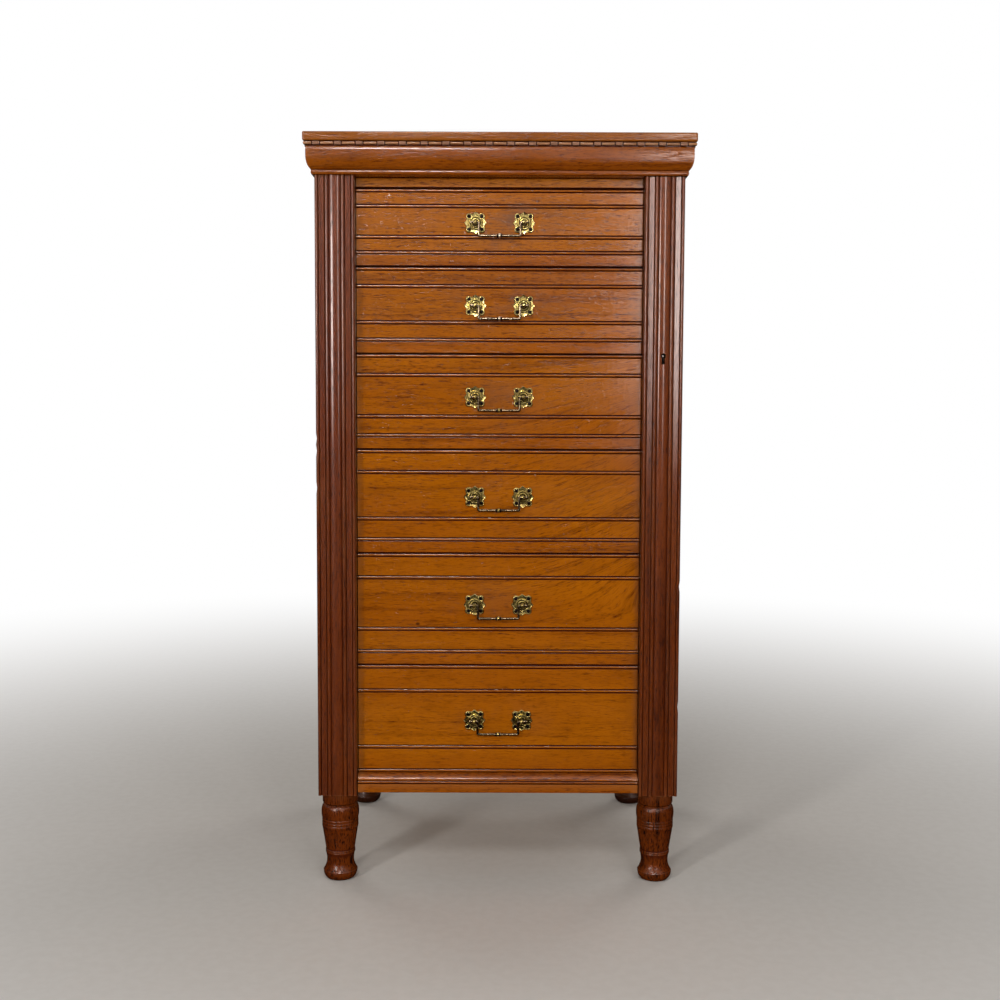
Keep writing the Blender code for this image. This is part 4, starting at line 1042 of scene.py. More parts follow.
def oak(name, turn, tones, **changes):
    """A polished oak with its grain along X, or turned to another direction."""
    values = {**PLAIN_OAK, **changes}
    pale, warm, dark, worn = [(*tone, 1.0) for tone in tones]
    material, board = new_material(name)
    place = board.object_place(turn)
    feeds = {"Place": place, "Pale": pale, "Warm": warm, "Dark": dark}
    feeds.update({value: values[value.lower()] for value in FIGURE_VALUES})
    figure = board.add("ShaderNodeGroup", feeds, node_tree=OAK_FIGURE).outputs
    smoke = values["smoke"]
    if smoke:
        smoke = board.times(board.attribute("handling"), smoke)
    feeds = {
        "Place": place,
        "Color": figure["Color"],
        "Relief": board.attribute("relief"),
        "Depth": board.attribute("depth"),
        "Worn": worn,
        "Wear": values["wear"],
        "Shade and dirt": values["grime"],
        "Smoke": smoke,
        "Gloss": values["gloss"],
    }
    polish = board.add("ShaderNodeGroup", feeds, node_tree=OLD_POLISH).outputs
    wax = values["wax"]
    if wax:
        wax = board.times_plus(figure["Figure"], -wax * OPEN_GRAIN, wax, clamp=True)
    bump = board.bump(figure["Height"], values["grain_depth"])
    close_material(board, polish["Color"], polish["Roughness"], bump, specular=values["specular"], wax=wax)
    return material


def metal(name, tones, patina, gloss, metallic=1.0):
    """Old metal, bright on its crests and duller elsewhere."""
    bright, dull, deep = [(*tone, 1.0) for tone in tones]
    material, board = new_material(name)
    feeds = {"Place": board.object_place(), "Bright": bright, "Dull": dull, "Deep": deep}
    feeds.update({"Relief": board.attribute("relief"), "Patina": patina, "Gloss": gloss})
    coat = board.add("ShaderNodeGroup", feeds, node_tree=TARNISH).outputs
    bump = board.bump(coat["Height"], GRIT_DEPTH)
    close_material(board, coat["Color"], coat["Roughness"], bump, metallic=metallic)
    return material


OAK_FIGURE = make_oak_figure()
OLD_POLISH = make_old_polish()
TARNISH = make_tarnish()

# Tones of each oak: pale, warm, dark and worn
GOLDEN = ((0.405, 0.112, 0.0016), (0.345, 0.087, 0.0010), (0.080, 0.012, 0.0006), (0.400, 0.135, 0.030))
SLAB = ((0.295, 0.084, 0.0050), (0.245, 0.065, 0.0030), (0.100, 0.018, 0.0012), (0.400, 0.145, 0.035))
CORNICE = ((0.290, 0.072, 0.0016), (0.235, 0.053, 0.0012), (0.060, 0.008, 0.0005), (0.300, 0.090, 0.018))
BROWN = ((0.150, 0.027, 0.0014), (0.110, 0.0155, 0.0010), (0.024, 0.0026, 0.0004), (0.290, 0.105, 0.035))
LEG = ((0.155, 0.028, 0.0010), (0.088, 0.0115, 0.0007), (0.010, 0.0010, 0.0002), (0.180, 0.050, 0.013))
# Darker tones for the back legs: painted shade
SHADED_BACK_LEG = ((0.055, 0.014, 0.0035), (0.040, 0.009, 0.0020), (0.012, 0.0025, 0.0008), (0.070, 0.023, 0.0080))
RAIL = ((0.365, 0.095, 0.0016), (0.310, 0.072, 0.0010), (0.075, 0.011, 0.0006), (0.330, 0.100, 0.018))
FRIEZE = ((0.470, 0.150, 0.0100), (0.360, 0.105, 0.0060), (0.095, 0.020, 0.0015), (0.380, 0.150, 0.040))
DENTIL = ((0.260, 0.125, 0.070), (0.210, 0.090, 0.045), (0.090, 0.030, 0.012), (0.320, 0.160, 0.085))
# The bars' tones are paler than the cornice's: their own tone, partly a painted highlight
BAR = ((0.310, 0.120, 0.035), (0.245, 0.080, 0.018), (0.080, 0.018, 0.003), (0.420, 0.210, 0.100))
INNER = ((0.440, 0.270, 0.130), (0.380, 0.215, 0.095), (0.190, 0.090, 0.035), (0.480, 0.320, 0.180))
PINE = ((0.290, 0.165, 0.080), (0.215, 0.110, 0.047), (0.070, 0.030, 0.012), (0.350, 0.225, 0.130))
BROWN_PINE = ((0.235, 0.125, 0.056), (0.175, 0.085, 0.034), (0.055, 0.022, 0.008), (0.300, 0.180, 0.095))

# Tones of each metal: bright, dull and deep
OLD = ((0.78, 0.68, 0.27), (0.24, 0.190, 0.055), (0.020, 0.014, 0.005))
DARK = ((0.34, 0.290, 0.200), (0.085, 0.066, 0.042), (0.010, 0.007, 0.005))
# Darker copies of the brass and bronze, for the lower rows' handles: painted shade
SHADED_BRASS_TONES = ((0.58, 0.48, 0.17), (0.15, 0.115, 0.033), (0.014, 0.009, 0.004))
SHADED_BRONZE_TONES = ((0.21, 0.165, 0.100), (0.052, 0.038, 0.024), (0.008, 0.006, 0.004))
PALE = ((0.85, 0.80, 0.64), (0.50, 0.43, 0.29), (0.06, 0.045, 0.030))
GREY = ((0.55, 0.54, 0.52), (0.24, 0.21, 0.18), (0.05, 0.035, 0.025))
BRIGHT = ((0.95, 0.93, 0.90), (0.80, 0.78, 0.74), (0.30, 0.25, 0.20))
BLACK = ((0.020, 0.017, 0.015), (0.008, 0.007, 0.006), (0.003, 0.002, 0.002))

# Values that go together
# The strength of the painted shade with old dirt in hollows, quirks and joints
SHADED_AND_DIRTY = {"grime": 0.97}
FRONT_GRAIN = {"sweep": 0.95, "streaks": 0.90, "rise": 0.75, "spots": 0.8, "smoke": 0.9}
CORNICE_GRAIN = {"streaks": 1.0, "gloss": 0.13, "specular": 0.38}
UPRIGHT_GRAIN = {"wander": 0.004, "streaks": 1.0, "flecks": 1.0, "grain_depth": 0.00004}
UPRIGHT_POLISH = {"wear": 0.7, "gloss": 0.32, "specular": 0.3, "wax": 0.9}
LEG_GRAIN = {"wander": 0.008, "streaks": 1.5, "flecks": 1.8}
INNER_GRAIN = {"streaks": 0.45, "gloss": 0.62, "specular": 0.3, "grime": 0.5}
PINE_GRAIN = {"wander": 0.03, "streaks": 1.1, "flecks": 0.8, "spots": 0.9, "smoke": 0.5, "specular": 0.25}

DRAWER_OAK = oak("golden oak fronts", NO_TURN, GOLDEN, **FRONT_GRAIN, **SHADED_AND_DIRTY, gloss=0.11)
SLAB_OAK = oak("golden oak top", NO_TURN, SLAB, streaks=0.9, gloss=0.12, specular=0.36)
CORNICE_OAK = oak("golden oak cornice", NO_TURN, CORNICE, **CORNICE_GRAIN, **SHADED_AND_DIRTY)
RETURN_OAK = oak("golden oak returns", BACKWARDS, CORNICE, **CORNICE_GRAIN, **SHADED_AND_DIRTY)
RAIL_OAK = oak("golden oak rails", NO_TURN, RAIL, streaks=0.8, **SHADED_AND_DIRTY, gloss=0.13)
BASE_OAK = oak("golden oak base", NO_TURN, RAIL, streaks=1.5, flecks=1.0, wear=0.8, **SHADED_AND_DIRTY, gloss=0.13)
FRIEZE_OAK = oak("olive oak frieze", NO_TURN, FRIEZE, streaks=1.3, **SHADED_AND_DIRTY, gloss=0.14, specular=0.4)
DENTIL_OAK = oak("grey oak blocks", NO_TURN, DENTIL, streaks=0.5, gloss=0.5, specular=0.4)
BAR_OAK = oak("tan oak bars", NO_TURN, BAR, streaks=0.8, wear=1.0, gloss=0.22, specular=0.5)
UPRIGHT_OAK = oak("brown oak upright", UPRIGHT, BROWN, **UPRIGHT_GRAIN, **UPRIGHT_POLISH, **SHADED_AND_DIRTY)
LEG_OAK = oak("brown oak legs", UPRIGHT, LEG, **LEG_GRAIN, **SHADED_AND_DIRTY, wear=0.5, gloss=0.24, specular=0.4)
SHADED_BACK_LEG_OAK = oak("back leg oak in painted shade", UPRIGHT, SHADED_BACK_LEG, wander=0.008, streaks=1.0, flecks=1.0, gloss=0.3)
INNER_OAK = oak("drawer lining oak", NO_TURN, INNER, **INNER_GRAIN)
INNER_OAK_BACKWARDS = oak("drawer side oak", BACKWARDS, INNER, **INNER_GRAIN)
BACK_PINES = [
    oak("back pine", UPRIGHT, PINE, **PINE_GRAIN, sweep=0.9, gloss=0.72, grime=0.9),
    oak("brown back pine", UPRIGHT, BROWN_PINE, **PINE_GRAIN, sweep=0.4, gloss=0.76, grime=0.9),
]
BRASS = metal("old brass", OLD, 0.85, 0.21)
BRONZE = metal("dark bronze", DARK, 0.8, 0.15)
# Shaded copies for the handles of the lower rows, and the pale brass of the upper knops: painted light
SHADED_BRASS = metal("brass in painted shade", SHADED_BRASS_TONES, 0.9, 0.21)
SHADED_BRONZE = metal("bronze in painted shade", SHADED_BRONZE_TONES, 0.85, 0.16)
UPPER_KNOP_BRASS = metal("pale brass of the upper knops", PALE, 0.5, 0.34)
STEEL = metal("grey steel", GREY, 0.6, 0.34)
# A near white steel of little metal, for the drill pin: partly a painted highlight
BRIGHT_STEEL = metal("bright steel", BRIGHT, 0.2, 0.45, 0.2)
IRON = metal("dark iron", BLACK, 0.8, 0.40)


# Case

def end_shade(place, high):
    """The painted shadow of the flap on a front or a rail, strongest at its right end."""
    return END_SHADE * (1 - (high[0] - place.x) / END_SHADE_WIDTH)


def make_rail(name, low, high):
    """A rail across the front with rounded arrises, with painted shade where it meets the drawers and the
    painted shadow of the flap at its right end.
    """
    length, depth, height = [end - start for start, end in zip(low, high)]
    foot = arc((RAIL_ARRIS, RAIL_ARRIS), RAIL_ARRIS, 270, 180, RAIL_ARRIS_STEPS)
    head = arc((RAIL_ARRIS, height - RAIL_ARRIS), RAIL_ARRIS, 180, 90, RAIL_ARRIS_STEPS)
    line = [*foot, (0.0, RAIL_SHADE), (0.0, height - RAIL_SHADE), *head]
    line += [(SHADE_AND_DIRT_REACH, height), (depth, height), (depth, 0.0), (SHADE_AND_DIRT_REACH, 0.0)]
    rail = swept(name, [(low[0], low[1] + y, low[2] + z) for y, z in line], (length, 0, 0), RAIL_CUTS)
    undarkened_from = low[1] + SHADE_AND_DIRT_REACH / 2

    def rail_depth(place):
        edge = 1 - min(place.z - low[2], high[2] - place.z) / RAIL_SHADE
        return max(edge, end_shade(place, high)) if place.y < undarkened_from else 0.0

    note_depth(rail, rail_depth)
    return rail


def make_boards():
    """The flat boards of the case, and the frieze over the drawers."""
    top = block("top", TOP_LOW, TOP_HIGH, TOP_ARRIS, steps=4)
    fit(top, "top_slab", SLAB_OAK, ["top_board"])
    for side in ("left", "right"):
        board = block("side", *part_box(f"{side}_side"), BOARD_ARRIS, steps=3)
        fit(board, f"case_{side}_board", UPRIGHT_OAK, [f"{side}_side"])
    make_back()
    frieze_foot = CORNICE_LOW.z + JOINT_GAP
    frieze = block("frieze", (RAIL_LOW.x, RAIL_LOW.y, frieze_foot), RAIL_HIGH)
    fit(frieze, "frieze_board", RAIL_OAK, ["top_rail"])
    front_low, front_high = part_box("drawer_1_front")
    tongue_low = (front_low.x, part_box("divider_1")[0].y, RAIL_LOW.z + RAIL_LIFT)
    tongue = make_rail("tongue", tongue_low, (front_high.x, FRAME_BACK_Y - OVERLAP, frieze_foot - JOINT_GAP))
    fit(tongue, "frieze_rail", FRIEZE_OAK, ["top_rail"])


def make_back():
    """Upright boards with chamfered joints, nailed along the top, the middle and the bottom."""
    width = (BACK_HIGH.x - BACK_LOW.x) / BACK_BOARD_COUNT
    nails = []
    profile = [(0, NAIL_RISE), (NAIL_RADIUS / 2, NAIL_SHOULDER), (NAIL_RADIUS, 0)]
    profile += [(NAIL_RADIUS, -NAIL_LENGTH), (0, -NAIL_LENGTH)]
    nail = turned("nail", profile, axis=(0, 1, 0), steps=NAIL_STEPS)
    heights = (BACK_LOW.z + NAIL_INSET, (BACK_LOW.z + BACK_HIGH.z) / 2, BACK_HIGH.z - NAIL_INSET)
    for index in range(BACK_BOARD_COUNT):
        start = BACK_LOW.x + width * index
        low = (start, BACK_LOW.y, BACK_LOW.z)
        board = block("board", low, (start + width, BACK_HIGH.y, BACK_HIGH.z), BACK_CHAMFER, steps=1)
        fit(board, f"back_board_{index + 1}", BACK_PINES[index % 2], ["back_panel"])
        for height in heights:
            for place in (start + NAIL_INSET, start + width - NAIL_INSET):
                nails.append(copied(nail, (place, BACK_HIGH.y, height)))
    scrap(nail)
    fit(joined(nails), "back_nails", IRON, ["back_panel"])


def make_cornice():
    """A front length and two returns, mitred at the front corners, each with its strip of bars and blocks."""
    outline = cornice_outline()
    reach = DENTIL_PROJECTION + OVERLAP
    base = CORNICE_LOW.z
    corner_left = Vector((-HALF_WIDTH, FACE_Y, base))
    corner_right = Vector((HALF_WIDTH, FACE_Y, base))
    start = -HALF_WIDTH - reach
    section = [(start, FACE_Y - p, base + z) for p, z in outline]
    front = swept("front", section, (-2 * start, 0, 0), CORNICE_CUTS)
    make_strip("front", (0, FACE_Y, base), (1, 0, 0), (0, -1, 0), 2 * (HALF_WIDTH + DENTIL_PROJECTION))
    sawn(front, corner_left, (1, -1, 0))
    sawn(front, corner_right, (-1, -1, 0))
    note_depth(front, lambda co: strip_depth(FACE_Y - co.y, co.z - base))
    fit(front, "cornice_front", CORNICE_OAK, ["cornice"])
    length = BACK_Y - FACE_Y + DENTIL_PROJECTION
    middle = BACK_Y - length / 2
    for name, side, corner in (("left", -1, corner_left), ("right", 1, corner_right)):
        section = [(side * (HALF_WIDTH + p), BACK_Y, base + z) for p, z in outline]
        run = swept(name, section, (0, FACE_Y - reach - BACK_Y, 0), RETURN_CUTS)
        make_strip(name, (side * HALF_WIDTH, middle, base), (0, 1, 0), (side, 0, 0), length)
        sawn(run, corner, (side, 1, 0))
        note_depth(run, lambda co: strip_depth(abs(co.x) - HALF_WIDTH, co.z - base))
        fit(run, f"cornice_{name}", RETURN_OAK, ["cornice"])


def strip_depth(projection, height):
    """Painted shade, partly old dirt, in the groove behind the strip of bars and blocks, and in the quirk
    over the lower bead.
    """
    if height > STRIP_FOOT:
        return 1.0
    if height < 2 * CORNICE_BEAD_HEIGHT:
        swell = CORNICE_BEAD_PROJECTION - CORNICE_QUIRK_PROJECTION
        return 1 - 2 * (projection - CORNICE_QUIRK_PROJECTION) / swell
    return 0.0


def make_strip(name, middle, along, outwards, length):
    """A row of small flat blocks with a short bar between each two."""
    middle, along, outwards = Vector(middle), Vector(along), Vector(outwards)
    centre = STRIP_FOOT + DENTIL_HEIGHT / 2
    count = int(length // DENTIL_PITCH)
    bar_width = DENTIL_PITCH - DENTIL_WIDTH - 2 * STRIP_GAP

    def member(place, width, height, projection, arris):
        half = along * width / 2 + Vector((0, 0, height / 2))
        middle_out = (OVOLO_PROJECTION - OVERLAP + projection) / 2
        half += Vector([abs(way) for way in outwards]) * (projection - middle_out)
        spot = middle + along * place + outwards * middle_out + Vector((0, 0, centre))
        return block("member", spot - half, spot + half, arris, steps=3)

    places = [(index - (count - 1) / 2) * DENTIL_PITCH for index in range(count)]
    size = (DENTIL_WIDTH, DENTIL_BLOCK_HEIGHT, DENTIL_PROJECTION, FINE_ARRIS)
    blocks = [member(place, *size) for place in places]
    fit(joined(blocks), f"dentils_{name}", DENTIL_OAK, ["cornice"])
    bars = []
    for place in [place + DENTIL_PITCH / 2 for place in [places[0] - DENTIL_PITCH, *places]]:
        start = max(place - bar_width / 2, -length / 2)
        end = min(place + bar_width / 2, length / 2)
        if end - start > DENTIL_WIDTH / 4:
            bars.append(member((start + end) / 2, end - start, BAR_HEIGHT, BAR_PROJECTION, BAR_ROUND))
    fit(joined(bars), f"bars_{name}", BAR_OAK, ["cornice"])


def reed_depth(place):
    """How deep a place lies in the quirks of the reeding, where the finish paints shade."""
    depth = place.y - FACE_Y
    return (depth - FLAT_DEPTH) / (REED_DEPTH - FLAT_DEPTH) if depth < 2 * REED_DEPTH else 0.0


def reeded_upright(name, low, high, back, edge, inwards, nicks):
    """An upright with a reeded front, the outline of its back given, and a few nicks in its outer edge."""
    outline = [(low.x + x, low.y + y, low.z) for x, y in reeded_front() + back]
    upright = swept(name, outline, (0, 0, high.z - low.z), REED_CUTS)
    ringed(upright, (low.z + FLAT_BORDER, high.z - FLAT_BORDER))
    note_depth(upright, reed_depth)
    move = (inwards * NICK_DEPTH, NICK_DEPTH / 2, 0)
    for height, reach in nicks:
        nicked(upright, (edge, low.y + NICK_DEPTH, height), move, reach)
    return upright


def make_pilaster():
    """The fixed reeded pilaster on the left."""
    low, high = PILASTER_LOW, PILASTER_HIGH
    back = [(PILASTER_WIDTH, high.y - low.y), (0.0, high.y - low.y)]
    pilaster = reeded_upright("pilaster", low, high, back, low.x, 1, PILASTER_NICKS)
    fit(pilaster, "pilaster_reeded", UPRIGHT_OAK, ["left_pilaster"])


def make_dividers():
    """Each divider is a front rail, two runners with guides, a back rail and a thin dust board between."""
    shoulder = FRAME_BACK_Y + JOINT_GAP
    guide = HALF_WIDTH - PILASTER_WIDTH
    for row in range(1, DRAWER_COUNT):
        node = f"divider_{row}"
        low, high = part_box(node)
        front_low, front_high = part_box(f"drawer_{row}_front")
        top = front_low.z - JOINT_GAP
        rail_low = (front_low.x, low.y, low.z + RAIL_LIFT / row)
        rail = make_rail("rail", rail_low, (front_high.x, shoulder, top))
        fit(rail, f"rail_{row}", RAIL_OAK, [node])
        edge = high.x - RUNNER_WIDTH
        pieces = []
        for side in (-1, 1):
            outer = side * high.x
            pieces.append(block("runner", (side * edge, shoulder, low.z), (outer, high.y, top)))
            corner = (side * guide, shoulder + JOINT_GAP, top)
            pieces.append(block("guide", corner, (outer, high.y, high.z)))
        back = high.y - RUNNER_WIDTH
        pieces.append(block("back", (-edge, back, low.z), (edge, high.y, top)))
        middle = (low.z + top) / 2
        thin = DUST_BOARD_THICKNESS / 2
        pieces.append(block("dust", (-edge, shoulder, middle - thin), (edge, back, middle + thin)))
        fit(joined(pieces), f"runners_{row}", INNER_OAK_BACKWARDS, [node])


def make_base():
    """The base moulding, and the bottom board with a member along each side."""
    outline = [(BASE_LOW.x, BASE_LOW.y + y, BASE_LOW.z + z) for y, z in base_rail_outline()]
    rail = swept("rail", outline, (BASE_HIGH.x - BASE_LOW.x, 0, 0), BASE_CUTS)
    fascia_top = BASE_LOW.z + BASE_LIFT + BASE_FASCIA_HEIGHT
    bead_top = fascia_top + 2 * BASE_QUIRK + BASE_BEAD_HEIGHT - BASE_QUIRK_SIDE

    # The quirk over the fascia gets painted shade, partly old dirt
    def quirk_depth(place):
        return (place.y - BASE_LOW.y) / BASE_QUIRK_DEPTH if fascia_top < place.z < bead_top else 0.0

    note_depth(rail, quirk_depth)
    fit(rail, "base_moulding", BASE_OAK, ["base_rail"])
    rail_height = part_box("drawer_5_front")[0].z - JOINT_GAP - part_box("divider_5")[0].z
    board_low = (FRAME_LOW.x, FRAME_LOW.y, BASE_HIGH.z - rail_height)
    board = block("board", board_low, (FRAME_HIGH.x, FRAME_HIGH.y, BASE_HIGH.z))
    members = []
    for side in (-1, 1):
        corner = (side * (HALF_WIDTH - PILASTER_WIDTH), FRAME_LOW.y + JOINT_GAP, FRAME_LOW.z)
        opposite = (side * FRAME_HIGH.x, FRAME_HIGH.y - JOINT_GAP, FRAME_HIGH.z)
        members.append(block("member", corner, opposite, FRAME_ARRIS))
    fit(welded(board, members), "bottom_boards", INNER_OAK, ["bottom_frame"])


def make_legs():
    """Four turned legs, the back ones in a darker copy of the oak: painted shade."""
    low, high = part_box("leg_front_left")
    middle = (low + high) / 2
    leg = turned("leg", leg_profile(high.z - low.z), (middle.x, middle.y, low.z), steps=LEG_STEPS)
    for depth in ("front", "back"):
        for side in ("left", "right"):
            node = f"leg_{depth}_{side}"
            node_low, node_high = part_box(node)
            place = (node_low + node_high) / 2 - middle
            finish = LEG_OAK if depth == "front" else SHADED_BACK_LEG_OAK
            fit(copied(leg, place), f"turned_leg_{depth}_{side}", finish, [node])
    scrap(leg)


# Stile, flap and lock

def round_tip(radius, tip, rise):
    """A round end from its tip down to its full radius: (radius, height)."""
    return [(x, tip - rise + y * rise / radius) for y, x in arc((0.0, 0.0), radius, 0, 90, CAP_STEPS)]


def screw(place, axis):
    """A flat screw head with a slot, let into what it holds."""
    axis = Vector(axis)
    profile = [(0, SCREW_RISE), (SCREW_FACE_RADIUS, SCREW_RISE), (SCREW_RADIUS, 0)]
    profile += [(SCREW_TIP_RADIUS, -SCREW_LENGTH), (0, -SCREW_LENGTH)]
    head = turned("screw", profile, place, axis, BORE_STEPS)
    top = Vector(place) + axis * SCREW_RISE
    along = Vector((axis.y, axis.z, axis.x)) * SCREW_SLOT_REACH
    wide = axis.cross(along).normalized() * SCREW_SLOT / 2
    reach = along + wide + axis * SCREW_SLOT
    return carved(head, [block("slot", top + reach, top - reach, 0)])


def make_stile():
    """The fixed stile behind the flap, with seats for the pivot plates and a keep for the hook."""
    stile = block("stile", STILE_LOW, STILE_HIGH, THIN_BOARD_ARRIS)
    face = STILE_LOW.y
    low_x = BOLT_LOW.x - HOOK_SWING_ROOM
    high_x = BOLT_HIGH.x + HOOK_CLEARANCE
    mouth_low = BOLT_LOW.z - HOOK_CLEARANCE
    mouth_high = BOLT_HIGH.z + HOOK_CLEARANCE
    pocket_back = BOLT_HIGH.y + HOOK_CLEARANCE

    def mouth():
        corner = (low_x, face - OVERLAP, mouth_low)
        return block("mouth", corner, (high_x, pocket_back - JOINT_GAP, mouth_high), 0)

    margin = KEEP_PLATE_MARGIN
    plate_low = Vector((low_x - margin, face, mouth_low - HOOK_TRAVEL - 2 * margin))
    plate_high = Vector((high_x + margin, face + KEEP_PLATE_THICKNESS, mouth_high + 2 * margin))
    seat = block("seat", plate_low - Vector((0, OVERLAP, 0)), plate_high, 0)
    pocket = block(
        "pocket",
        (low_x - JOINT_GAP, face + KEEP_LIP, mouth_low - HOOK_TRAVEL),
        (high_x + JOINT_GAP, pocket_back, mouth_high + JOINT_GAP),
        0,
    )
    plate_seats = []
    for end in ("bottom", "top"):
        low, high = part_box(f"flap_pivot_{end}")
        foot = low.z - OVERLAP if end == "bottom" else high.z - PIVOT_PLATE_THICKNESS - JOINT_GAP
        head = low.z + PIVOT_PLATE_THICKNESS + JOINT_GAP if end == "bottom" else high.z + OVERLAP
        corner = (low.x - JOINT_GAP, face - OVERLAP, foot)
        plate_seats.append(block("plate_seat", corner, (high.x + JOINT_GAP, high.y + JOINT_GAP, head), 0))
    carved(stile, [seat, mouth(), pocket, *plate_seats])
    fit(stile, "stile_fixed", UPRIGHT_OAK, ["right_stile"])
    fitted = Vector((JOINT_GAP / 2, 0, JOINT_GAP / 2))
    plate = block("keep", plate_low + fitted, plate_high - fitted, FINE_ARRIS)
    middle = (plate_low.x + plate_high.x) / 2
    heights = (plate_low.z + margin, plate_high.z - margin)
    heads = [screw((middle, face, height), (0, -1, 0)) for height in heights]
    fit(joined([carved(plate, [mouth()]), *heads]), "keep_plate", STEEL, ["right_stile"])


def make_pivots():
    """Steel plates with a round nose over the pivot axis, and the pins standing on them."""
    for end, way in (("bottom", 1), ("top", -1)):
        node = f"flap_pivot_{end}"
        low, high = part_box(node)
        foot = low.z if way > 0 else high.z
        half = PIVOT_PLATE_WIDTH / 2
        plan = arc((PIVOT_X, PIVOT_Y), half, 180, 360, METAL_STEPS // 2)
        plan += [(PIVOT_X + half, high.y), (PIVOT_X - half, high.y)]
        plate = swept("plate", [(x, y, foot) for x, y in plan], (0, 0, way * PIVOT_PLATE_THICKNESS))
        root = PIVOT_PLATE_THICKNESS / 2
        tip = PIVOT_PLATE_THICKNESS + PIVOT_PIN_LENGTH
        profile = [(0, root), (PIVOT_PIN_RADIUS, root), (PIVOT_PIN_RADIUS, tip - PIVOT_PIN_CHAMFER)]
        profile += [(PIVOT_PIN_RADIUS - PIVOT_PIN_CHAMFER, tip), (0, tip)]
        pin = turned("pin", profile, (PIVOT_X, PIVOT_Y, foot), (0, 0, way))
        fit(welded(plate, [pin]), f"pivot_{end}", STEEL, [node])


def make_flap():
    """The reeded locking flap, its outer back edge rounded about the pivot axis."""
    thickness = FLAP_HIGH.y - FLAP_LOW.y
    centre = (PILASTER_WIDTH - PIVOT_INSET, thickness - PIVOT_INSET)
    back = arc(centre, PIVOT_INSET, 0, 90, CURVE_STEPS)
    back += [(2 * FLAP_ARRIS, thickness), (FLAP_ARRIS, thickness), (0.0, thickness - FLAP_ARRIS)]
    flap = reeded_upright("flap", FLAP_LOW, FLAP_HIGH, back, FLAP_HIGH.x, -1, FLAP_NICKS)
    cutters = []
    room = PIVOT_PLATE_WIDTH / 2 + PLATE_CLEARANCE
    notch = PIVOT_PLATE_THICKNESS + 2 * JOINT_GAP
    for end, low, high in (
        (PILASTER_LOW.z, PILASTER_LOW.z - OVERLAP, PILASTER_LOW.z + notch),
        (PILASTER_HIGH.z, PILASTER_HIGH.z - notch, PILASTER_HIGH.z + OVERLAP),
    ):
        corner = (PIVOT_X - room, PIVOT_Y - room, low)
        cutters.append(block("notch", corner, (HALF_WIDTH + OVERLAP, FLAP_HIGH.y + OVERLAP, high), 0))
        depth = PIVOT_PIN_LENGTH + PIVOT_PLATE_THICKNESS + PLATE_CLEARANCE
        place = (PIVOT_X, PIVOT_Y, end)
        cutters.append(rod("bore", PIVOT_PIN_RADIUS + PIN_CLEARANCE, place, (0, 0, 1), depth))
    body_low = Vector((LOCK_LOW.x, LOCK_BODY_Y, LOCK_LOW.z))
    gap = Vector((JOINT_GAP, JOINT_GAP, JOINT_GAP))
    cutters.append(block("pocket", body_low - gap, LOCK_HIGH + gap + Vector((0, OVERLAP, 0)), 0))
    half = KEYHOLE_SLOT_WIDTH / 2
    lean = math.degrees(math.asin(half / KEYHOLE_RADIUS))
    hole = arc((0.0, 0.0), KEYHOLE_RADIUS, -90 + lean, 270 - lean, METAL_STEPS)
    hole += [(-half, -KEYHOLE_SLOT_LENGTH), (half, -KEYHOLE_SLOT_LENGTH)]
    section = [(FLAP_CENTRE_X + x, FLAP_LOW.y - OVERLAP, KEYHOLE_HEIGHT + z) for x, z in hole]
    cutters.append(swept("keyhole", section, (0, LOCK_BODY_Y - FLAP_LOW.y + 2 * OVERLAP, 0)))
    carved(flap, cutters)
    fit(flap, "flap_reeded", UPRIGHT_OAK, ["locking_flap"], "flap")


def make_lock():
    """The lock's case with its drill pin and cover screws, and the hook that slides in it."""
    body = block("case", (LOCK_LOW.x, LOCK_BODY_Y, LOCK_LOW.z), LOCK_HIGH, LOCK_ARRIS)
    profile = round_tip(KEY_PIN_RADIUS, LOCK_BODY_Y - LOCK_LOW.y, KEY_PIN_RADIUS)
    profile += [(KEY_PIN_RADIUS, JOINT_GAP), (0, JOINT_GAP)]
    pin = turned("pin", profile, (FLAP_CENTRE_X, LOCK_BODY_Y, KEYHOLE_HEIGHT), (0, -1, 0), BORE_STEPS)
    # The drill pin is near white: a painted highlight on bright steel
    fit(pin, "drill_pin", BRIGHT_STEEL, ["lock_case"], "flap")
    slot_foot = BOLT_HIGH.z - HOOK_SHANK_HEIGHT - HOOK_TRAVEL - JOINT_GAP
    slot_low = (BOLT_LOW.x - JOINT_GAP, BOLT_LOW.y - JOINT_GAP, slot_foot)
    slot_high = (BOLT_HIGH.x + JOINT_GAP, LOCK_HIGH.y + OVERLAP, BOLT_HIGH.z + JOINT_GAP)
    carved(body, [block("slot", slot_low, slot_high, 0)])
    heads = []
    for x in (LOCK_LOW.x + LOCK_SCREW_INSET, LOCK_HIGH.x - LOCK_SCREW_INSET):
        for z in (LOCK_LOW.z + LOCK_SCREW_INSET, LOCK_HIGH.z - LOCK_SCREW_INSET):
            heads.append(screw((x, LOCK_HIGH.y - SCREW_RISE, z), (0, 1, 0)))
    # The case is nearly black, so that the keyhole shows dark: painted shade
    fit(joined([body, *heads]), "lock_body", IRON, ["lock_case"], "flap")
    half = HOOK_SHANK_HEIGHT / 2
    toe = BOLT_HIGH.y - HOOK_TOE_LENGTH
    foot = -half - HOOK_TOE_DEPTH
    side_view = [(BOLT_LOW.y, -half), (toe, -half), (toe, foot)]
    side_view += [(BOLT_HIGH.y - HOOK_CHAMFER, foot), (BOLT_HIGH.y, foot + HOOK_CHAMFER)]
    side_view += [(BOLT_HIGH.y, half - HOOK_ROUND), (BOLT_HIGH.y - HOOK_ROUND, half), (BOLT_LOW.y, half)]
    outline = [(BOLT_LOW.x, y, HOOK_Z + z) for y, z in side_view]
    hook = rounded(swept("hook", outline, (BOLT_HIGH.x - BOLT_LOW.x, 0, 0)), FINE_ARRIS)
    fit(hook, "hook", STEEL, ["lock_bolt"], "hook_bolt")


# Drawers and handles

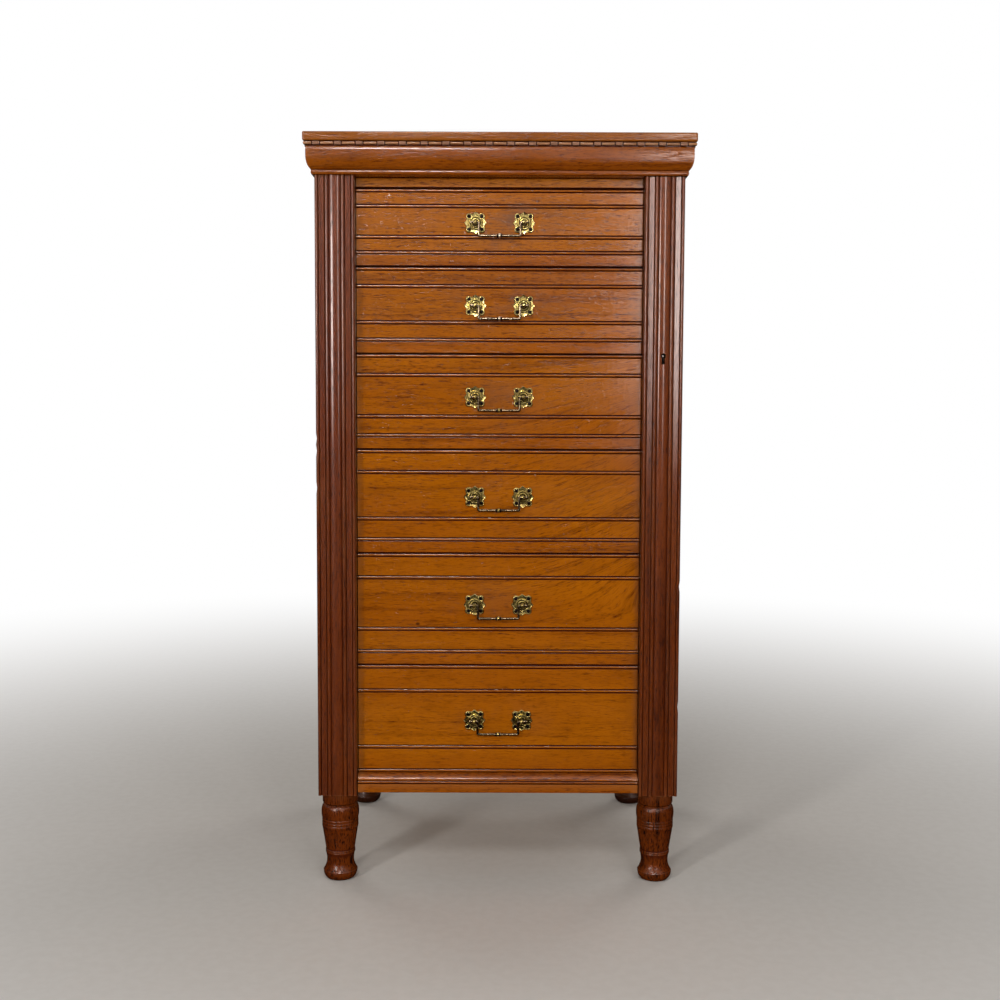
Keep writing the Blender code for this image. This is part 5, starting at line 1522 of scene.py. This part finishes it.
def tail_row(side, shoulder, walls, grown):
    """The dovetails at one front corner of a drawer, or a slightly larger row to cut their sockets."""
    low, high = walls
    height = high.z - low.z
    count = max(2, round(height / TAIL_PITCH))
    x_low = low.x if side < 0 else high.x - DRAWER_SIDE_THICKNESS
    base_y = shoulder + (OVERLAP if grown else 2 * OVERLAP)
    tip_y = shoulder - TAIL_LENGTH - grown
    tails = []
    for index in range(count):
        middle = low.z + height * (index + 0.5) / count
        base = height / count * TAIL_SHARE + grown
        tip = base + TAIL_SPLAY
        plan = [(shoulder, -base), (tip_y, -tip), (tip_y, tip)]
        plan += [(shoulder, base), (base_y, base), (base_y, -base)]
        x = x_low - (OVERLAP if grown and side < 0 else grown)
        width = DRAWER_SIDE_THICKNESS + (OVERLAP + grown if grown else 0)
        tails.append(swept("tail", [(x, y, middle + z) for y, z in plan], (width, 0, 0)))
    return joined(tails)


def make_drawer(row, patterns):
    """One drawer: moulded front, dovetailed sides, bottom board and handle."""
    body = f"drawer_{row}"
    low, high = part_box(f"{body}_front")
    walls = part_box(f"{body}_box")
    rosette_low, rosette_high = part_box(f"handle_{row}_rosette_left")
    pivot = Vector((0, low.y - JOINT_GAP - PIVOT_STANDOFF, (rosette_low.z + rosette_high.z) / 2))
    line = drawer_front_line(high.z - low.z, FIRST_STRIP + STRIP_STEP * (row - 1))
    outline = [(low.x, low.y + depth, low.z + height) for height, depth in line]
    undarkened_from = low.y + SHADE_AND_DIRT_REACH
    outline += [(low.x, y, high.z) for y in (undarkened_from, high.y)]
    outline += [(low.x, y, low.z) for y in (high.y, undarkened_from)]
    front = swept("front", outline, (high.x - low.x, 0, 0), FRONT_CUTS)
    cutters = [tail_row(side, high.y, walls, TAIL_FIT) for side in (-1, 1)]
    for side in (-1, 1):
        place = (side * HANDLE_SPAN / 2, low.y, pivot.z)
        radius, depth = SHANK_RADIUS + PIN_CLEARANCE, SHANK_LENGTH + JOINT_GAP
        cutters.append(rod("bore", radius, place, (0, 1, 0), depth, BORE_STEPS))
    carved(front, cutters)
    note_handling(front, pivot, 1 / row)

    # Painted shade, partly old dirt, in the quirks and along the top and bottom edges, and the painted shadow
    # of the flap at the right end
    def front_depth(place):
        depth = (place.y - low.y) / FRONT_BEAD_DEPTH
        return max(depth, end_shade(place, high)) if place.y < low.y + 2 * FRONT_BEAD_DEPTH else 0.0

    note_depth(front, front_depth)
    fit(front, f"drawer_{row}_moulded_front", DRAWER_OAK, [f"{body}_front"], body)
    make_drawer_box(row, high.y, walls)
    # The upper rows' handles get lit copies of the metals, the lower rows' shaded copies: painted light
    finishes = (BRASS, BRONZE, UPPER_KNOP_BRASS) if row <= BRIGHT_ROWS else (SHADED_BRASS, SHADED_BRONZE, SHADED_BRASS)
    plate_finish, wire_finish, knop_finish = finishes
    for name, side in (("left", -1), ("right", 1)):
        node = f"handle_{row}_rosette_{name}"
        place = (side * HANDLE_SPAN / 2, low.y - JOINT_GAP, pivot.z)
        fit(copied(patterns["pins"], place), f"pins_{row}_{name}", IRON, [node], body)
        fit(copied(patterns["rosette"], place), f"rosette_{row}_{name}", plate_finish, [node], body)
    node, body = f"handle_{row}_bail", f"bail_{row}"
    fit(copied(patterns["bail"], pivot), f"bail_{row}_wire", wire_finish, [node], body)
    fit(copied(patterns["collars"], pivot), f"bail_{row}_collars", IRON, [node], body)
    fit(copied(patterns["knop"], pivot), f"bail_{row}_knop", knop_finish, [node], body)


def make_drawer_box(row, shoulder, walls):
    """The dovetailed sides, the back and the bottom board of a drawer."""
    body = f"drawer_{row}"
    box_node = [f"{body}_box"]
    low, high = walls
    bottom_low, bottom_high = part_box(f"{body}_bottom")
    inner = high.x - DRAWER_SIDE_THICKNESS
    back_y = high.y - DRAWER_BACK_THICKNESS
    groove_low = (-inner - DRAWER_GROOVE_DEPTH, low.y - OVERLAP, bottom_low.z - JOINT_GAP)
    groove_high = (inner + DRAWER_GROOVE_DEPTH, back_y + OVERLAP, bottom_high.z + JOINT_GAP)
    sides = []
    for side in (-1, 1):
        corner = (side * inner, low.y, low.z)
        wall = block("side", corner, (side * high.x, high.y, high.z), BOX_ARRIS, steps=3)
        welded(wall, [tail_row(side, shoulder, walls, 0)])
        sides.append(carved(wall, [block("groove", groove_low, groove_high, 0)]))
    fit(joined(sides), f"drawer_{row}_sides", INNER_OAK_BACKWARDS, box_node, body)
    back_low = (-inner, back_y, bottom_high.z + JOINT_GAP)
    back = block("back", back_low, (inner, high.y, high.z - BOX_BACK_DROP), BOARD_ARRIS, steps=3)
    fit(back, f"drawer_{row}_back", INNER_OAK, box_node, body)
    bottom = block("bottom", bottom_low, bottom_high, THIN_BOARD_ARRIS)
    fit(bottom, f"drawer_{row}_bottom_board", INNER_OAK, [f"{body}_bottom"], body)


def make_rosette():
    """A pierced plate with rimmed ears and raised rings, a post bored for the bail, and a shank behind."""
    line = rosette_outline()
    plate = swept("rosette", [(x, 0, z) for x, z in line], (0, ROSETTE_RIM - ROSETTE_THICKNESS, 0))
    with shaping(plate):
        pick(plate, "FACE", lambda face: face.normal.y < -ALMOST)
        bpy.ops.mesh.inset(thickness=ROSETTE_RIM, depth=ROSETTE_RIM)
        bpy.ops.mesh.inset(thickness=ROSETTE_HOLLOW_WIDTH, depth=-ROSETTE_HOLLOW_DEPTH)
        tidy_faces()
    rims = []
    holes = []
    centre = (EAR_RIM_RADIUS, ROSETTE_THICKNESS - EAR_RIM_ROUND / 4)
    section = arc(centre, EAR_RIM_ROUND, 0, 360, CURVE_STEPS)
    for ear in ROSETTE_EARS:
        rims.append(turned("rim", section, ear, (0, -1, 0)))
        holes.append(rod("hole", ROSETTE_HOLE_RADIUS, ear, (0, 1, 0), 3 * ROSETTE_THICKNESS))
    boss = turned("boss", boss_profile(), (0, 0, 0), (0, -1, 0))
    welded(plate, [*rims, boss])
    place = (0, -PIVOT_STANDOFF, 0)
    holes.append(rod("pin_bore", BAIL_RADIUS + PIN_CLEARANCE, place, (1, 0, 0), 2 * POST_RADIUS))
    return carved(plate, holes)


def make_pins():
    """Four round-headed pins, one in each ear of a rosette."""
    profile = round_tip(PIN_HEAD_RADIUS, ROSETTE_THICKNESS + PIN_HEAD_RISE, PIN_HEAD_RISE)
    profile += [(PIN_HEAD_RADIUS, JOINT_GAP), (0.0, JOINT_GAP)]
    return joined([turned("pin", profile, ear, (0, -1, 0), PIN_STEPS) for ear in ROSETTE_EARS])


def boss_profile():
    """The raised rings, the post and the shank, from the post's tip back: (radius, height)."""
    line = round_tip(POST_RADIUS, PIVOT_STANDOFF + POST_BEYOND_PIN, POST_RADIUS)
    line.append((POST_RADIUS, PIVOT_STANDOFF - POST_RADIUS))
    line += [(POST_NECK_RADIUS, DISH_HEIGHT + POST_NECK_RISE), (POST_RADIUS, DISH_HEIGHT)]
    for radius, height in reversed(list(zip(RING_RADII, RING_HEIGHTS))):
        crest = bead(radius - RING_HALF_WIDTH, 2 * RING_HALF_WIDTH, height - DISH_HEIGHT, BEND_STEPS)
        line += [(place, height - depth) for place, depth in crest]
    edge = RING_RADII[0] + 2 * RING_HALF_WIDTH
    line += [(edge, ROSETTE_THICKNESS / 2), (SHANK_RADIUS, ROSETTE_THICKNESS / 2)]
    line += [(SHANK_RADIUS, JOINT_GAP - SHANK_LENGTH), (0.0, JOINT_GAP - SHANK_LENGTH)]
    return line


def make_bail():
    """A square bail whose ends turn outwards through the posts; the knop on its grip is a piece of its own.
    """
    leg_x = BAIL_LEG_SPAN / 2
    pin_x = HANDLE_SPAN / 2 + POST_RADIUS + BAIL_PIN_BEYOND_POST
    bend = BAIL_BEND_RADIUS
    half = [(pin_x, 0.0)]
    half += arc((leg_x + bend, -bend), bend, 90, 180, BEND_STEPS)
    half += arc((leg_x - bend, bend - BAIL_DROP), bend, 0, -90, BEND_STEPS)
    mirrored = [(-x, z) for x, z in reversed(half)]
    return wire("bail", [(x, 0, z) for x, z in half + mirrored], BAIL_RADIUS)


def grip_ring(name, place, length, radius, steps):
    """A round ring bored to sit on the grip of a bail."""
    bore = BAIL_RADIUS + WELD
    crest = bead(0.0, length, radius - bore, steps)
    line = [(radius - depth, length / 2 - along) for along, depth in crest]
    return turned(name, line + line[:1], (place, 0, -BAIL_DROP), (1, 0, 0), GRIP_STEPS)


def make_collars():
    """The two dark collars, one on either side of the knop."""
    middle = (KNOP_LENGTH + COLLAR_LENGTH) / 2
    places = (-middle, middle)
    return joined([grip_ring("collar", place, COLLAR_LENGTH, COLLAR_RADIUS, CAP_STEPS) for place in places])


def make_knop():
    return grip_ring("knop", 0.0, KNOP_LENGTH - 2 * WELD, KNOP_RADIUS, KNOP_STEPS)


def make_drawers():
    patterns = {"rosette": make_rosette(), "pins": make_pins(), "bail": make_bail()}
    patterns.update(collars=make_collars(), knop=make_knop())
    for row in range(1, DRAWER_COUNT + 1):
        make_drawer(row, patterns)
    for pattern in patterns.values():
        scrap(pattern)


make_boards()
make_cornice()
make_pilaster()
make_dividers()
make_base()
make_legs()
make_stile()
make_pivots()
make_flap()
make_lock()
make_drawers()


# Studio

# Floor, surround and walls
FLOOR_HALF = 14.0
FLOOR_COLOUR = (0.70, 0.66, 0.61, 1.0)
FLOOR_SHADE = (0.62, 0.575, 0.52, 1.0)
FADE_START = 0.35
FADE_END = 3.20
AMBIENT = 0.17
WALL_COLOUR = (1.0, 0.68, 0.50, 1.0)
WINDOW_COLOUR = (1.0, 0.90, 0.85, 1.0)
AMBIENT_COLOUR = (1.0, 0.98, 0.95, 1.0)
WHITE = (1.0, 1.0, 1.0, 1.0)
SPECKLE_SCALE = (60.0, 60.0, 60.0)
SPECKLE = (0.3, 0.7, 0.0, 0.3)

# Camera; turns are in degrees
CAMERA_PLACE = (0.0, -2.1923, 0.7617)
CAMERA_LENS = 45.0
CAMERA_SENSOR = 36.0
CAMERA_YAW = -0.059
CAMERA_PITCH = 4.088
CAMERA_ROLL = 0.214

# Lamps: name, place, target, width, height, radiance
LAMPS = (
    ("right window", (0.79, -3.2, 1.27), (0.15, -0.2, 0.9), 0.36, 1.05, 12.0),
    ("right lamp", (1.45, -2.8, 1.20), (0.0, -0.2, 0.6), 0.5, 1.2, 5.6),
    ("left window", (-1.90, -3.1, 1.30), (0.0, -0.2, 0.6), 0.30, 1.3, 30.0),
    ("top panel", (-0.33, -2.6, 2.40), (0.0, -0.2, 0.6), 0.5, 0.60, 16.5),
    ("right fill", (2.40, -2.0, 0.9), (0.0, -0.2, 0.5), 1.0, 1.4, 1.3),
    ("back left", (-2.2, 2.4, 1.7), (0.0, 0.2, 0.6), 1.5, 1.5, 3.0),
    ("back right", (2.2, 2.4, 1.7), (0.0, 0.2, 0.6), 1.5, 1.5, 3.0),
)

# Cards: name, low and high corner, the heights between which the glow changes, its start and end, colour
CARDS = (
    ("front wall", (-3.4, -3.62, 0.0), (3.4, -3.60, 2.60), 0.75, 2.10, 0.01, 0.95, WALL_COLOUR),
    ("left window glass", (-2.40, -3.12, 0.60), (-1.40, -3.10, 1.40), 0.55, 1.15, 0.0, 21.0, WINDOW_COLOUR),
    ("left window head", (-2.40, -3.12, 1.40), (-1.40, -3.10, 1.85), 1.42, 1.70, 21.0, 4.0, WINDOW_COLOUR),
    ("right window glass", (0.595, -3.22, 0.30), (0.82, -3.20, 1.85), 0.40, 1.15, 0.0, 14.0, WINDOW_COLOUR),
    ("top panel glass", (-0.60, -2.62, 2.15), (-0.08, -2.60, 2.65), 0.0, 0.1, 45.0, 45.0, WINDOW_COLOUR),
    ("left wall", (-3.02, -3.60, 0.0), (-3.00, 3.60, 2.60), 0.60, 2.40, 0.01, 0.6, WALL_COLOUR),
    ("right wall", (3.00, -3.60, 0.0), (3.02, 3.60, 2.60), 0.60, 2.40, 0.01, 0.6, WALL_COLOUR),
    ("back wall", (-3.4, 3.60, 0.0), (3.4, 3.62, 2.60), 0.60, 2.40, 0.01, 0.6, WALL_COLOUR),
    ("dark ground", (-3.0, -3.60, 0.0005), (3.0, 3.60, 0.0010), 0.0, 1.0, 0.01, 0.01, WALL_COLOUR),
)


def camera_and_glossy(board):
    """One for rays from the camera, and for those that shiny and clear surfaces send on."""
    path = board.add("ShaderNodeLightPath").outputs
    seen = board.plus(path["Is Camera Ray"], path["Is Glossy Ray"])
    return board.plus(seen, path["Is Transmission Ray"], clamp=True)


def make_floor():
    """A pale floor that fades to white away from the chest and keeps its shadow."""
    deselect()
    bpy.ops.mesh.primitive_plane_add(size=2 * FLOOR_HALF)
    floor = made("floor")
    with shaping(floor):
        select_all()
        bpy.ops.mesh.subdivide(number_cuts=FLOOR_CUTS)
    material, board = new_material("pale floor")
    place = board.object_place()
    speckle = board.noise(place, SPECKLE_SCALE, 3.0)
    colour = board.mix(board.step(speckle, *SPECKLE), FLOOR_COLOUR, FLOOR_SHADE)
    ground = board.add("ShaderNodeBsdfDiffuse", {"Color": colour})
    white = board.add("ShaderNodeEmission", {"Color": WHITE, "Strength": 1.0})
    flat_place = board.vector("MULTIPLY", place, (1.0, 1.0, 0.0))
    away = board.add("ShaderNodeVectorMath", {0: flat_place}, operation="LENGTH").outputs["Value"]
    share = board.times(board.step(away, FADE_START, FADE_END), camera_and_glossy(board))
    mixed = board.add("ShaderNodeMixShader", {0: share, 1: ground.outputs[0], 2: white.outputs[0]})
    board.add("ShaderNodeOutputMaterial", {"Surface": mixed.outputs[0]})
    floor.data.materials.append(material)


def make_world():
    """A white surround for the camera and the polish, and a soft dim light for the rest."""
    world = bpy.data.worlds.new("studio")
    bpy.context.scene.world = world
    world.use_nodes = True
    board = Board(world.node_tree)
    soft = board.add("ShaderNodeBackground", {"Color": AMBIENT_COLOUR, "Strength": AMBIENT})
    white = board.add("ShaderNodeBackground", {"Color": WHITE, "Strength": 1.0})
    feeds = {0: camera_and_glossy(board), 1: soft.outputs[0], 2: white.outputs[0]}
    mixed = board.add("ShaderNodeMixShader", feeds)
    board.add("ShaderNodeOutputWorld", {"Surface": mixed.outputs[0]})


def make_light(name, place, target, width, height, radiance):
    """A soft rectangular lamp that neither the camera nor the polish sees."""
    data = bpy.data.lights.new(name, "AREA")
    data.shape = "RECTANGLE"
    data.size = width
    data.size_y = height
    data.energy = radiance * math.pi * width * height
    lamp = bpy.data.objects.new(name, data)
    bpy.context.scene.collection.objects.link(lamp)
    lamp.location = place
    lamp.rotation_euler = (Vector(target) - Vector(place)).to_track_quat("-Z", "Y").to_euler()
    lamp.visible_camera = False
    lamp.visible_glossy = False


def make_card(name, low, high, foot, head, start, end, colour):
    """A card that only shows in the polish; its glow changes from one height to another."""
    card = block(name, low, high, 0)
    material, board = new_material(name)
    height = board.add("ShaderNodeSeparateXYZ", {0: board.object_place()}).outputs[2]
    strength = board.step(height, foot, head, start, end)
    glow = board.add("ShaderNodeEmission", {"Color": colour, "Strength": strength})
    board.add("ShaderNodeOutputMaterial", {"Surface": glow.outputs[0]})
    card.data.materials.append(material)
    card.visible_camera = False
    card.visible_diffuse = False
    card.visible_transmission = False
    card.visible_shadow = False


def make_lights():
    for lamp in LAMPS:
        make_light(*lamp)
    for card in CARDS:
        make_card(*card)


def make_camera():
    """The camera, where the photograph was taken from."""
    data = bpy.data.cameras.new("camera")
    data.lens = CAMERA_LENS
    data.sensor_width = CAMERA_SENSOR
    camera = bpy.data.objects.new("camera", data)
    bpy.context.scene.collection.objects.link(camera)
    turn = Matrix.Rotation(math.radians(CAMERA_YAW), 4, "Z")
    turn = turn @ Matrix.Rotation(math.radians(90 - CAMERA_PITCH), 4, "X")
    turn = turn @ Matrix.Rotation(math.radians(CAMERA_ROLL), 4, "Z")
    camera.matrix_world = Matrix.Translation(CAMERA_PLACE) @ turn
    bpy.context.scene.camera = camera


make_floor()
make_world()
make_lights()
make_camera()
bpy.context.scene.view_settings.view_transform = "Standard"
